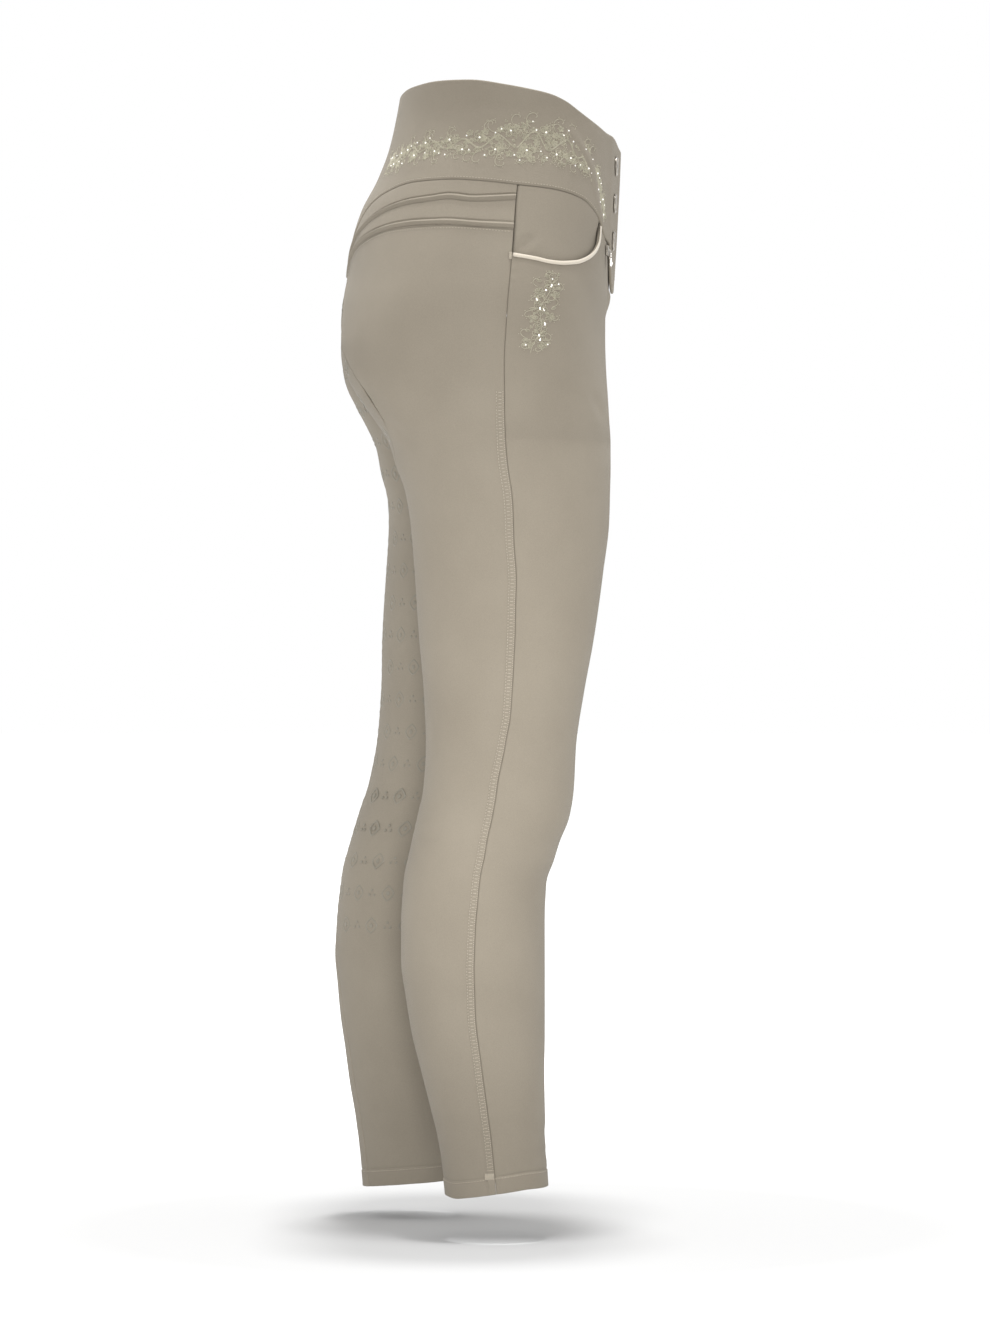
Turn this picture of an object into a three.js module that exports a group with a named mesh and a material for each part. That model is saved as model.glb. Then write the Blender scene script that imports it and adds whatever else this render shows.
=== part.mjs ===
// Riding breeches, hollow worn form. Millimetres, +X wearer's front, +Y wearer's left, +Z up.
// u runs round one half of the garment: 0 centre front / inseam, 0.5 outer side, 1 centre back / inseam.
import * as THREE from 'three';

// Columns by name, from a row for each section or knot.
function table(names, rows) {
  const columns = names.split(' ').map((name, k) => [name, rows.map((row) => row[k])]);
  return Object.fromEntries(columns);
}

const TORSO = table('z front back half mid squareFront squareBack', [
  [-300, 85, -130, 171, -22, 3, 2.5],
  [-262, 85, -140.5, 173, -22, 3, 2.5],
  [-230, 85.5, -146.5, 173.5, -22, 3, 2.5],
  [-200, 86.3, -150.5, 172.5, -20, 2.9, 2.5],
  [-170, 87, -148, 169, -18, 2.8, 2.5],
  [-141, 89.5, -142.5, 163.5, -15, 2.7, 2.45],
  [-112, 91.5, -138.5, 156, -12, 2.6, 2.35],
  [-84, 93, -130.3, 147, -9, 2.55, 2.25],
  [-55, 94.5, -115.5, 138, -5, 2.5, 2.2],
  [-27, 95.5, -105, 129, -2, 2.5, 2.2],
  [0, 96, -98.8, 124, 0, 2.5, 2.2],
  [30, 96, -93.5, 125, 0, 2.5, 2.2],
]);
const LEG = table('z front back lateral medial', [
  [-955, 35.8, -54, 135.5, 53.5],
  [-923, 33.6, -57.4, 136.5, 52.5],
  [-897, 32.3, -61.4, 138.5, 50],
  [-870, 31.9, -68, 141, 47],
  [-838, 31.4, -76.1, 144.5, 43],
  [-806, 31.9, -84.1, 147.5, 39],
  [-774, 31.9, -89.4, 150, 36],
  [-742, 31.9, -93.5, 151.5, 33.5],
  [-710, 31.8, -93.5, 151.5, 32.5],
  [-685, 32.4, -92.2, 150.8, 32.8],
  [-668, 35.2, -90.7, 150, 33.2],
  [-653, 40.3, -87.4, 149.3, 33.6],
  [-638, 45.6, -84.1, 148.5, 34],
  [-614, 54, -78.7, 148, 34.3],
  [-594, 57.1, -74.3, 148, 34],
  [-555, 59.2, -71.9, 149.5, 32.5],
  [-508, 66.2, -73.7, 152.5, 29.5],
  [-461, 74.8, -77.9, 156, 26],
  [-404, 82.8, -81.7, 161.5, 20.5],
  [-359, 88.1, -85.6, 166, 16],
  [-333, 88.8, -90.2, 168, 12.5],
  [-312, 89.3, -97.8, 169.5, 9],
  [-292, 89.3, -104, 171, 0],
  [-270, 88.3, -117, 172.5, 0],
  [-250, 87.8, -130, 173, 0],
  [-230, 87, -142, 173.5, 0],
  [-200, 86, -148.5, 173, 0],
  [-150, 87, -145, 170, 0],
]);
// The left leg stands further back than the right one.
const SET_BACK = table('z x', [
  [-955, -77.5], [-908, -77], [-870, -74.5], [-813, -68], [-715, -61.5], [-617, -55],
  [-581, -50.5], [-552, -46.5], [-427, -32], [-340, -20], [-295, -15], [-270, -10], [-249, -6.5],
  [-222, -4.5], [-205, -4], [-150, 0],
]);
const CROTCH_Z = -292;
const CROTCH_X = -18;
const CROTCH_START = -165;
const BODY_START = -150;
const LEFT_HEM_DROP = 12;
// How far the front slopes back on each side of its middle.
const KEEL_DEPTH = 1.6;
const KEEL_END_Z = -170;

// Seams and edges as heights over u.
const TOP_EDGE = table('u z', [
  [-0.1, -28], [0, -28], [0.1, -26.5], [0.15, -24.5], [0.2, -22.5], [0.25, -21], [0.2925, -19],
  [0.336, -14], [0.366, -8.5], [0.391, -2], [0.41, 4], [0.437, 10], [0.4685, 14], [0.5005, 17.5],
  [0.5575, 22.5], [0.625, 23.5], [0.679, 22.5], [0.7375, 21.5], [0.8, 20], [1, 17],
]);
const BAND_SEAM = table('u z', [
  [-0.1, -113], [0, -114], [0.222, -116], [0.262, -114.6], [0.287, -112], [0.311, -106.5],
  [0.3225, -100.5], [0.336, -94], [0.356, -87], [0.379, -80.7], [0.428, -73.8], [0.478, -70.5],
  [0.526, -67], [0.57, -65], [0.623, -65.5], [0.7, -72.5], [0.777, -85.5], [0.82, -97],
  [0.87, -110], [0.93, -121], [1, -128],
]);
const FLAP_BOTTOM = table('u z', [
  [-0.1, -153], [0, -153], [0.09, -151.5], [0.143, -146], [0.196, -135.5], [0.23, -126],
  [0.262, -114.6],
]);
const FLAP_LIFT = table('u lift', [
  [-0.1, 5.6], [0, 4.4], [0.09, 3.6], [0.14, 3], [0.196, 2.6], [0.262, 2.4], [0.285, 1],
  [0.3, 0.3], [0.32, 0],
]);
const TUCK_1 = table('u z', [
  [0.478, -81], [0.53, -82.5], [0.564, -80], [0.591, -81.5], [0.622, -83], [0.659, -86.5],
  [0.692, -91], [0.736, -98], [0.767, -103], [0.82, -112], [0.87, -120], [0.93, -128], [1, -134],
]);
const TUCK_2 = table('u z', [
  [0.478, -106.5], [0.518, -105], [0.565, -102.5], [0.6, -102.5], [0.632, -103.5], [0.673, -106.5],
  [0.712, -110.5], [0.758, -115.5], [0.8, -121], [0.87, -130], [0.93, -136], [1, -140.5],
]);
const YOKE_SEAM = table('u z', [
  [0.478, -110.5], [0.565, -106.5], [0.632, -107.5], [0.712, -114.5], [0.8, -125.5], [0.87, -135],
  [0.93, -141], [1, -146],
]);
const POCKET_EDGE = table('u z', [
  [0.3262, -98.9], [0.328, -106], [0.3305, -113], [0.34, -120.5], [0.3575, -127.5],
  [0.376, -132.5], [0.3965, -136.3], [0.42, -137.8], [0.434, -137.2], [0.462, -133],
  [0.48, -131.3],
]);
const HEM = table('u z', [
  [0, -940.5], [0.1, -939], [0.2, -938], [0.297, -938.5], [0.377, -938.5], [0.485, -941.5],
  [0.586, -945.5], [0.653, -947.5], [0.7, -946.5], [0.8, -945.5], [0.9, -943], [1, -940.5],
]);
// Seams down the leg as u over height.
const OUTSEAM = table('z u', [
  [-955, 0.501], [-828, 0.5], [-794, 0.502], [-756, 0.498], [-713, 0.494], [-681, 0.49],
  [-654, 0.494], [-628, 0.501], [-594, 0.504], [-553, 0.491], [-526, 0.484], [-461, 0.485],
  [-424, 0.487], [-391, 0.487], [-332, 0.475], [-266, 0.478], [30, 0.478],
]);
const REAR_SEAM = table('z u', [
  [-955, 0.835], [-870, 0.825], [-780, 0.8], [-700, 0.765], [-400, 0.765], [-330, 0.75],
  [-300, 0.715], [-271, 0.69], [-242, 0.69], [-200, 0.755], [-150, 0.85], [-100, 0.9],
]);
// The seam inside the leg turns forward below the crotch.
const INSEAM = table('z u', [
  [-955, 0.125], [-800, 0.12], [-700, 0.11], [-560, 0.075], [-430, 0.03], [-340, 0], [30, 0],
]);

const LEG_WALL = 1.6;
const BAND_WALL = 2.4;
const BAND_PROUD = 0.6;
const FACING_WALL = 1.2;
const FACING_DEPTH = 3;
const BINDING_WALL = 1;
const BINDING_WIDTH = 3.4;
const SEAM_HALF_GAP = 0.18;
const LEVELS = [-160, -185, -208, -228, -245, -258, -268, -276, -283, -288, -291, -292, -295, -303, -316,
  -335, -360, -390, -425, -465, -505, -545, -582, -612, -636, -660, -690, -725, -760, -795, -830, -865,
  -900];
const FRONT_COLUMNS = [0, 0.09, 0.19, 0.3, 0.41, 0.4812, 0.5481, 0.6067, 0.6506, 0.681, 0.6872, 0.6935,
  0.7134, 0.748, 0.79, 0.85, 0.91, 0.96, 1];
const BACK_COLUMNS = [0, 0.1, 0.22, 0.34, 0.46, 0.58, 0.7, 0.81, 0.91, 1];
const SEAT_COLUMNS = [0, 0.12, 0.27, 0.42, 0.57, 0.72, 0.87, 1];
const BAND_FRONT_COLUMNS = [0.043, 0.0908, 0.1434, 0.196, 0.23, 0.262, 0.29, 0.311, 0.3255];
const POCKET_COLUMNS = [0.3295, 0.338, 0.352, 0.37, 0.39, 0.41, 0.435, 0.457];
const POCKET_START_U = 0.3262;
const FLAP_END_U = 0.262;
const SIDE_U = 0.478;

function clamp(value, low, high) {
  return Math.min(high, Math.max(low, value));
}

function ease(value) {
  const t = clamp(value, 0, 1);
  return t * t * (3 - 2 * t);
}

function mix(a, b, t) {
  return a + (b - a) * t;
}

// Monotone cubic lookup, so that a table gives a smooth line without overshoot.
function lookup(xs, ys, at) {
  const last = xs.length - 1;
  const x = clamp(at, xs[0], xs[last]);
  const slope = (i) => (ys[i + 1] - ys[i]) / (xs[i + 1] - xs[i]);
  const tangent = (i) => {
    if (i === 0) return slope(0);
    if (i === last) return slope(last - 1);
    const before = slope(i - 1);
    const after = slope(i);
    if (before * after <= 0) return 0;
    const h0 = xs[i] - xs[i - 1];
    const h1 = xs[i + 1] - xs[i];
    const w0 = 2 * h1 + h0;
    const w1 = h1 + 2 * h0;
    return (w0 + w1) / (w0 / before + w1 / after);
  };
  let i = 0;
  while (i < last - 1 && x > xs[i + 1]) i += 1;
  const h = xs[i + 1] - xs[i];
  const t = (x - xs[i]) / h;
  const rise = ys[i] * (1 + 2 * t) * (1 - t) * (1 - t) + ys[i + 1] * t * t * (3 - 2 * t);
  return rise + h * (tangent(i) * t * (1 - t) * (1 - t) + tangent(i + 1) * t * t * (t - 1));
}

function torsoPoint(u, z) {
  const phi = Math.PI * u - (Math.PI / 12) * Math.sin(2 * Math.PI * u);
  const c = Math.cos(phi);
  const s = Math.sin(phi);
  const mid = lookup(TORSO.z, TORSO.mid, z);
  const half = lookup(TORSO.z, TORSO.half, z);
  const isFront = c > 0;
  const depth = isFront ? lookup(TORSO.z, TORSO.front, z) - mid : mid - lookup(TORSO.z, TORSO.back, z);
  const power = lookup(TORSO.z, isFront ? TORSO.squareFront : TORSO.squareBack, z);
  const radius = ((Math.abs(c) / depth) ** power + (Math.abs(s) / half) ** power) ** (-1 / power);
  return [mid + radius * c, -radius * s];
}

function legPoint(u, z) {
  const psi = -Math.PI / 2 + 2 * Math.PI * u;
  const c = Math.cos(psi);
  const s = Math.sin(psi);
  const front = lookup(LEG.z, LEG.front, z);
  const back = lookup(LEG.z, LEG.back, z);
  const lateral = lookup(LEG.z, LEG.lateral, z);
  const medial = lookup(LEG.z, LEG.medial, z);
  const ringMid = (front + back) / 2;
  const mid = mix(ringMid, CROTCH_X, ease((z + 420) / (420 + CROTCH_Z)));
  const depth = c > 0 ? front - mid : mid - back;
  return [mid + depth * c, -(lateral + medial) / 2 - ((lateral - medial) / 2) * s];
}

// Past one, u goes on round the leg from its inside.
function wrap(u) {
  return u > 1 ? u - 1 : u;
}

// A point of the cloth's outer surface. Below zero, u goes on past the centre front.
function surfacePoint(anyU, z, isLeft) {
  const u = wrap(anyU);
  const turned = Math.abs(u);
  const [torsoX, torsoY] = torsoPoint(turned, z);
  const [legX, legY] = legPoint(turned, z);
  const drop = clamp((CROTCH_START - z) / (CROTCH_START - CROTCH_Z), 0, 1);
  const atCentre = 1 - Math.sqrt(1 - drop ** 2.2);
  const atSide = ease((BODY_START - z) / (BODY_START - CROTCH_Z - 5));
  const weight = mix(atCentre, atSide, ease(Math.min(turned, 1 - turned) / 0.2));
  const keel = ease(turned / 0.19) * ease((0.36 - turned) / 0.17) * ease((z - KEEL_END_Z) / 50);
  let x = mix(torsoX, legX, weight) - KEEL_DEPTH * keel;
  let y = mix(torsoY, legY, weight);
  if (isLeft) {
    const near = ease(Math.abs(y) / 55);
    const share = mix(near, 1, ease((CROTCH_Z - z) / 80));
    x += lookup(SET_BACK.z, SET_BACK.x, z) * share;
    y = -y;
  }
  return new THREE.Vector3(x, u < 0 ? -y : y, z);
}

function surfaceNormal(anyU, z, isLeft) {
  const u = wrap(anyU);
  const lowU = u < 0 ? u - 0.002 : Math.max(0, u - 0.002);
  const highU = Math.min(1, u + 0.002);
  const along = surfacePoint(highU, z, isLeft).sub(surfacePoint(lowU, z, isLeft));
  const up = surfacePoint(u, z + 0.4, isLeft).sub(surfacePoint(u, z - 0.4, isLeft));
  const normal = new THREE.Vector3().crossVectors(up, along);
  if (isLeft) normal.negate();
  return normal.normalize();
}

// A closed wall from two grids of points, outer and inner, with the rim between them.
function wallMesh(name, outer, inner, material) {
  const rows = outer.length;
  const columns = outer[0].length;
  const positions = [];
  for (const grid of [outer, inner]) {
    for (const row of grid) {
      for (const point of row) positions.push(point.x, point.y, point.z);
    }
  }
  const shift = rows * columns;
  const faces = [];
  const quad = (a, b, c, d) => faces.push(a, b, c, a, c, d);
  for (let i = 0; i < rows - 1; i += 1) {
    for (let j = 0; j < columns - 1; j += 1) {
      const a = i * columns + j;
      const c = a + columns + 1;
      quad(a, a + columns, c, a + 1);
      quad(shift + a, shift + a + 1, shift + c, shift + a + columns);
    }
  }
  const rim = [];
  for (let j = 0; j < columns - 1; j += 1) rim.push([j, j + 1]);
  for (let i = 0; i < rows - 1; i += 1) rim.push([i * columns + columns - 1, (i + 1) * columns + columns - 1]);
  for (let j = columns - 1; j > 0; j -= 1) rim.push([(rows - 1) * columns + j, (rows - 1) * columns + j - 1]);
  for (let i = rows - 1; i > 0; i -= 1) rim.push([i * columns, (i - 1) * columns]);
  for (const [a, b] of rim) quad(a, b, shift + b, shift + a);
  return closedMesh(name, positions, faces, material);
}

function closedMesh(name, positions, faces, material) {
  const geometry = new THREE.BufferGeometry();
  geometry.setAttribute('position', new THREE.Float32BufferAttribute(positions, 3));
  let volume = 0;
  const corner = (k) => new THREE.Vector3().fromArray(positions, faces[k] * 3);
  for (let k = 0; k < faces.length; k += 3) {
    volume += corner(k).dot(corner(k + 1).cross(corner(k + 2)));
  }
  if (volume < 0) {
    for (let k = 0; k < faces.length; k += 3) {
      const held = faces[k + 1];
      faces[k + 1] = faces[k + 2];
      faces[k + 2] = held;
    }
  }
  geometry.setIndex(faces);
  geometry.computeVertexNormals();
  const mesh = new THREE.Mesh(geometry, material);
  mesh.name = name;
  return mesh;
}

function pullIn(grid, sides) {
  const last = grid[0].length - 1;
  const end = grid.length - 1;
  const step = (from, to) => to.clone().sub(from).normalize().multiplyScalar(SEAM_HALF_GAP);
  const moves = [];
  grid.forEach((row, i) => {
    if (sides.start) moves.push([row[0], step(row[0], row[1])]);
    if (sides.end) moves.push([row[last], step(row[last], row[last - 1])]);
    row.forEach((point, j) => {
      if (i === 0 && sides.top) moves.push([point, step(point, grid[1][j])]);
      if (i === end && sides.bottom) moves.push([point, step(point, grid[end - 1][j])]);
    });
  });
  for (const [point, move] of moves) point.add(move);
  return grid;
}

function keepToSide(grid, isLeft) {
  for (const row of grid) {
    for (const point of row) {
      point.y = isLeft ? Math.max(point.y, SEAM_HALF_GAP) : Math.min(point.y, -SEAM_HALF_GAP);
    }
  }
  return grid;
}

// spots is a grid of { u, z, lift }: lift is the height of the outer face over the surface.
function wallFromSpots(name, spots, wall, material, isLeft, sides, crossesCentre = false) {
  const layer = (depth) => spots.map((row) => row.map(({ u, z, lift = 0 }) => {
    const normal = surfaceNormal(u, z, isLeft);
    return surfacePoint(u, z, isLeft).addScaledVector(normal, lift - depth);
  }));
  const grids = [layer(0), layer(wall)].map((grid) => pullIn(grid, sides));
  if (!crossesCentre) grids.forEach((grid) => keepToSide(grid, isLeft));
  return wallMesh(name, grids[0], grids[1], material);
}

function heightAt(table, u) {
  return lookup(table.u, table.z, u);
}

function hemAt(u, isLeft) {
  return heightAt(HEM, wrap(u)) - (isLeft ? LEFT_HEM_DROP : 0);
}

// A leg panel: columns between two seams, rows from its top line down the shared levels to the hem.
function legSpots(columns, startU, endU, topLine, topRows, isLeft) {
  const spotOn = (share, heightOf) => {
    let u = 0.5;
    let z = -150;
    for (let k = 0; k < 12; k += 1) {
      u = mix(startU(z), endU(z), share);
      z = heightOf(u);
    }
    return { u, z };
  };
  const heights = [];
  for (let k = 0; k < topRows; k += 1) {
    heights.push((u) => mix(topLine(u), LEVELS[0], k / topRows));
  }
  for (const level of LEVELS) {
    const bend = ease((-560 - level) / 380);
    heights.push((u) => level + (hemAt(u, isLeft) + 941.5) * bend);
  }
  heights.push((u) => hemAt(u, isLeft) + 17);
  heights.push((u) => hemAt(u, isLeft));
  return heights.map((heightOf) => columns.map((share) => spotOn(share, heightOf)));
}

// Where the rear seam meets the yoke, and the columns that the yoke shares with both panels below it.
function yokeColumns() {
  let rear = 0.87;
  for (let k = 0; k < 12; k += 1) rear = rearSeamAt(heightAt(YOKE_SEAM, rear));
  const overBack = BACK_COLUMNS.map((share) => mix(SIDE_U, rear, share));
  const overSeat = SEAT_COLUMNS.slice(1).map((share) => mix(rear, 1, share));
  return overBack.concat(overSeat);
}

function frontTop(u) {
  const band = heightAt(BAND_SEAM, u);
  if (u <= POCKET_START_U) return band;
  return Math.min(band, heightAt(POCKET_EDGE, u));
}

function outseamAt(z) {
  return lookup(OUTSEAM.z, OUTSEAM.u, z);
}

function rearSeamAt(z) {
  return lookup(REAR_SEAM.z, REAR_SEAM.u, z);
}

function inseamAt(z) {
  return lookup(INSEAM.z, INSEAM.u, z);
}

const ALL_SIDES = { start: true, end: true, top: true, bottom: false };

function frontLeg(side, isLeft, cloth) {
  const spots = legSpots(FRONT_COLUMNS, inseamAt, outseamAt, frontTop, 2, isLeft);
  return wallFromSpots(`front_leg_${side}`, spots, LEG_WALL, cloth, isLeft, ALL_SIDES);
}

function backLeg(side, isLeft, cloth) {
  const top = (u) => heightAt(YOKE_SEAM, u);
  const spots = legSpots(BACK_COLUMNS, outseamAt, rearSeamAt, top, 3, isLeft);
  return wallFromSpots(`back_leg_${side}`, spots, LEG_WALL, cloth, isLeft, ALL_SIDES);
}

function seatPanel(side, isLeft, cloth) {
  const top = (u) => heightAt(YOKE_SEAM, u);
  const innerAt = (z) => 1 + inseamAt(z);
  const spots = legSpots(SEAT_COLUMNS, rearSeamAt, innerAt, top, 2, isLeft);
  return wallFromSpots(`seat_grip_panel_${side}`, spots, LEG_WALL, cloth, isLeft, ALL_SIDES);
}

function backYoke(side, isLeft, cloth) {
  const tuckHalf = (u) => mix(2.1, 1.5, ease((u - 0.75) / 0.25));
  const middle = (u) => (heightAt(TUCK_1, u) + heightAt(TUCK_2, u)) / 2;
  const rows = [
    (u) => ({ z: heightAt(BAND_SEAM, u), lift: 0 }),
    (u) => ({ z: heightAt(TUCK_1, u) + tuckHalf(u), lift: 0 }),
    (u) => ({ z: heightAt(TUCK_1, u), lift: 1.5 }),
    (u) => ({ z: heightAt(TUCK_1, u) - tuckHalf(u), lift: 0 }),
    (u) => ({ z: middle(u), lift: 0 }),
    (u) => ({ z: heightAt(TUCK_2, u) + tuckHalf(u), lift: 0 }),
    (u) => ({ z: heightAt(TUCK_2, u), lift: 1.5 }),
    (u) => ({ z: heightAt(TUCK_2, u) - tuckHalf(u), lift: 0 }),
    (u) => ({ z: heightAt(YOKE_SEAM, u), lift: 0 }),
  ];
  const spots = rows.map((row) => yokeColumns().map((u) => ({ u, ...row(u) })));
  const sides = { start: true, end: true, top: true, bottom: true };
  return wallFromSpots(`back_yoke_${side}`, spots, LEG_WALL, cloth, isLeft, sides);
}

function waistband(side, isLeft, cloth) {
  const firstColumns = isLeft ? [-0.04, 0] : [-0.1, -0.05, 0];
  const columns = firstColumns.concat(BAND_FRONT_COLUMNS, POCKET_COLUMNS, yokeColumns());
  const bottomAt = (u) => heightAt(isLeft || u > FLAP_END_U ? BAND_SEAM : FLAP_BOTTOM, u);
  const liftAt = (u) => {
    if (isLeft) return mix(-0.4, BAND_PROUD, ease((u - 0.12) / 0.08));
    return BAND_PROUD + lookup(FLAP_LIFT.u, FLAP_LIFT.lift, u);
  };
  const rowCount = 5;
  const spots = [];
  for (let i = 0; i <= rowCount; i += 1) {
    spots.push(columns.map((u) => ({
      u,
      z: mix(heightAt(TOP_EDGE, u), bottomAt(u), i / rowCount),
      lift: liftAt(u),
    })));
  }
  const sides = { start: false, end: true, top: false, bottom: true };
  return wallFromSpots(`waistband_${side}`, spots, BAND_WALL, cloth, isLeft, sides, true);
}

function pocketFacing(side, isLeft, cloth) {
  const columns = POCKET_COLUMNS.concat(SIDE_U);
  const spots = [];
  for (let i = 0; i <= 6; i += 1) {
    spots.push(columns.map((u) => {
      const top = heightAt(BAND_SEAM, u);
      const mouth = Math.min(heightAt(POCKET_EDGE, u), top - 4);
      const z = mix(top, mouth - 12, i / 6);
      const lift = -FACING_DEPTH * ease((top - z) / (top - mouth - 2));
      return { u, z, lift };
    }));
  }
  const sides = { start: true, end: true, top: true, bottom: false };
  return wallFromSpots(`pocket_facing_${side}`, spots, FACING_WALL, cloth, isLeft, sides);
}

function pocketBinding(side, isLeft, satin) {
  const knots = table('k u z', [
    [0, 0.3272, -102.5], [1, 0.3292, -109.5], [2, 0.3335, -116], [3, 0.345, -122.8],
    [4, 0.3575, -127.5], [5, 0.376, -132.5], [6, 0.3965, -136.3], [7, 0.42, -137.8],
    [8, 0.434, -137.2], [9, 0.45, -134.9], [10, 0.4765, -131.7],
  ]);
  const spots = [];
  for (let k = 0; k <= 10; k += 0.4) spots.push([lookup(knots.k, knots.u, k), lookup(knots.k, knots.z, k)]);
  const points = spots.map(([u, z]) => surfacePoint(u, z, isLeft));
  const normals = spots.map(([u, z]) => surfaceNormal(u, z, isLeft));
  const across = points.map((point, k) => {
    const before = points[Math.max(0, k - 1)];
    const after = points[Math.min(points.length - 1, k + 1)];
    const along = after.clone().sub(before).normalize();
    const down = new THREE.Vector3().crossVectors(normals[k], along).normalize();
    return down.z > 0 ? down.negate() : down;
  });
  const layer = (lift) => [-0.6, BINDING_WIDTH - 0.6].map((shift) => points.map((point, k) => (
    point.clone().addScaledVector(across[k], shift).addScaledVector(normals[k], lift)
  )));
  return wallMesh(`pocket_binding_${side}`, layer(0.4 + BINDING_WALL), layer(0.4), satin);
}

// The snaps sit in a row down the flap, pressed onto its outer face. The profile is [radius, height].
const SNAP_U = 0.2;
const SNAP_HEIGHTS = [-45, -78, -111];
const SNAP_PROFILE = [[0, 0.3], [8.1, 0.3], [8.5, 0.9], [8.1, 1.7], [7.2, 2.2], [6, 1.9], [3.2, 2.1],
  [1.4, 2.4], [0, 2.4]];

function flapFace(u, z) {
  const normal = surfaceNormal(u, z, false);
  const lift = BAND_PROUD + lookup(FLAP_LIFT.u, FLAP_LIFT.lift, u);
  return surfacePoint(u, z, false).addScaledVector(normal, lift);
}

function snap(number, z, metal) {
  const profile = SNAP_PROFILE.map(([radius, height]) => new THREE.Vector2(radius, height));
  const mesh = new THREE.Mesh(new THREE.LatheGeometry(profile, 24), metal);
  mesh.name = `snap_${number}`;
  const side = flapFace(SNAP_U + 0.03, z).sub(flapFace(SNAP_U - 0.03, z));
  const up = flapFace(SNAP_U, z + 8).sub(flapFace(SNAP_U, z - 8));
  const axis = new THREE.Vector3().crossVectors(up, side).normalize();
  mesh.position.copy(flapFace(SNAP_U, z));
  mesh.quaternion.setFromUnitVectors(new THREE.Vector3(0, 1, 0), axis);
  return mesh;
}

// The zip slider lies on the front panel by the flap's near edge. Its pull hangs on the slider's bridge.
const SLIDER_SPOT = { u: 0.276, z: -122 };
const SLIDER_OUTLINE = [[-2.1, -4.5], [2.1, -4.5], [3.5, 0.5], [3.1, 4.5], [0.8, 4.5], [0.8, 2.5],
  [-0.8, 2.5], [-0.8, 4.5], [-3.1, 4.5], [-3.5, 0.5]];
const SLIDER_LIFT = 0.5;
const SLIDER_DEPTH = 2.2;
const PULL_OUTLINE = [[-1.6, 0.8], [1.6, 0.8], [2, 0.2], [1.7, -5.5], [3, -7.5], [3.4, -11], [2.6, -14.2],
  [-2.6, -14.2], [-3.4, -11], [-3, -7.5], [-1.7, -5.5], [-2, 0.2]];
const PULL_LIFT = 3.3;
const PULL_DEPTH = 1.2;

// A flat piece of the zip: its outline is sideways and up, its depth points away from the cloth.
function zipPiece(name, outline, lift, depth, metal) {
  const shape = new THREE.Shape(outline.map(([s, t]) => new THREE.Vector2(s, t)));
  const geometry = new THREE.ExtrudeGeometry(shape, { depth, bevelEnabled: false });
  const mesh = new THREE.Mesh(geometry, metal);
  mesh.name = name;
  const outward = surfaceNormal(SLIDER_SPOT.u, SLIDER_SPOT.z, false);
  outward.z = 0;
  outward.normalize();
  const up = new THREE.Vector3(0, 0, 1);
  const sideways = new THREE.Vector3().crossVectors(up, outward);
  mesh.quaternion.setFromRotationMatrix(new THREE.Matrix4().makeBasis(sideways, up, outward));
  mesh.position.copy(surfacePoint(SLIDER_SPOT.u, SLIDER_SPOT.z, false)).addScaledVector(outward, lift);
  return mesh;
}

const cloth = new THREE.MeshStandardMaterial({ name: 'stretch_cloth', color: 0x9c9280, roughness: 0.9 });
const grip = new THREE.MeshStandardMaterial({ name: 'grip_cloth', color: 0x958b79, roughness: 0.85 });
const satin = new THREE.MeshStandardMaterial({ name: 'satin_binding', color: 0xc3b6a0, roughness: 0.45 });
const metal = new THREE.MeshStandardMaterial({
  name: 'silver_metal', color: 0xb4ada2, roughness: 0.3, metalness: 1,
});

const breeches = new THREE.Group();
breeches.name = 'riding_breeches';
for (const side of ['right', 'left']) {
  const isLeft = side === 'left';
  breeches.add(waistband(side, isLeft, cloth));
  breeches.add(backYoke(side, isLeft, cloth));
  breeches.add(frontLeg(side, isLeft, cloth));
  breeches.add(backLeg(side, isLeft, cloth));
  breeches.add(seatPanel(side, isLeft, grip));
  breeches.add(pocketFacing(side, isLeft, cloth));
  breeches.add(pocketBinding(side, isLeft, satin));
}
SNAP_HEIGHTS.forEach((z, k) => breeches.add(snap(k + 1, z, metal)));
breeches.add(zipPiece('fly_zip_slider', SLIDER_OUTLINE, SLIDER_LIFT, SLIDER_DEPTH, metal));
breeches.add(zipPiece('fly_zip_pull', PULL_OUTLINE, PULL_LIFT, PULL_DEPTH, metal));

export default breeches;
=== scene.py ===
import math

import bpy
import numpy as np
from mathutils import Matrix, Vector


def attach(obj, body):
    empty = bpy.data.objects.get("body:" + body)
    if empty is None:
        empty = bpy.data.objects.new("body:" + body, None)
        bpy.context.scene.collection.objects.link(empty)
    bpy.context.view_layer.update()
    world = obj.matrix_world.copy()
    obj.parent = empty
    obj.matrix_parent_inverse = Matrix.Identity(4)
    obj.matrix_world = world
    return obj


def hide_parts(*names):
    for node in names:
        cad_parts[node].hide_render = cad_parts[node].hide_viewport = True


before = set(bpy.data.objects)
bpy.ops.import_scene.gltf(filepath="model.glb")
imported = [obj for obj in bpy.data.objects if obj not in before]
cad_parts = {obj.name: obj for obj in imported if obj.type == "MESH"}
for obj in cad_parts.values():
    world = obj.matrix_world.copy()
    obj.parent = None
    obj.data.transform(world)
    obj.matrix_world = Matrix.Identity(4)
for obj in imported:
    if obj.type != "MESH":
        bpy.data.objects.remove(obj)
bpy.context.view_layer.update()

# Riding breeches in their worn form. Tables and sizes are in millimetres, and objects in metres.
# u runs round one half of the garment: 0 centre front or inseam, 0.5 outer side, 1 centre back or inseam.
MM = 0.001


def table(names, rows):
    """Columns by name, from a row for each section, lowest first."""
    columns = np.array(rows, float).T
    return dict(zip(names.split(), columns))


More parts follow.
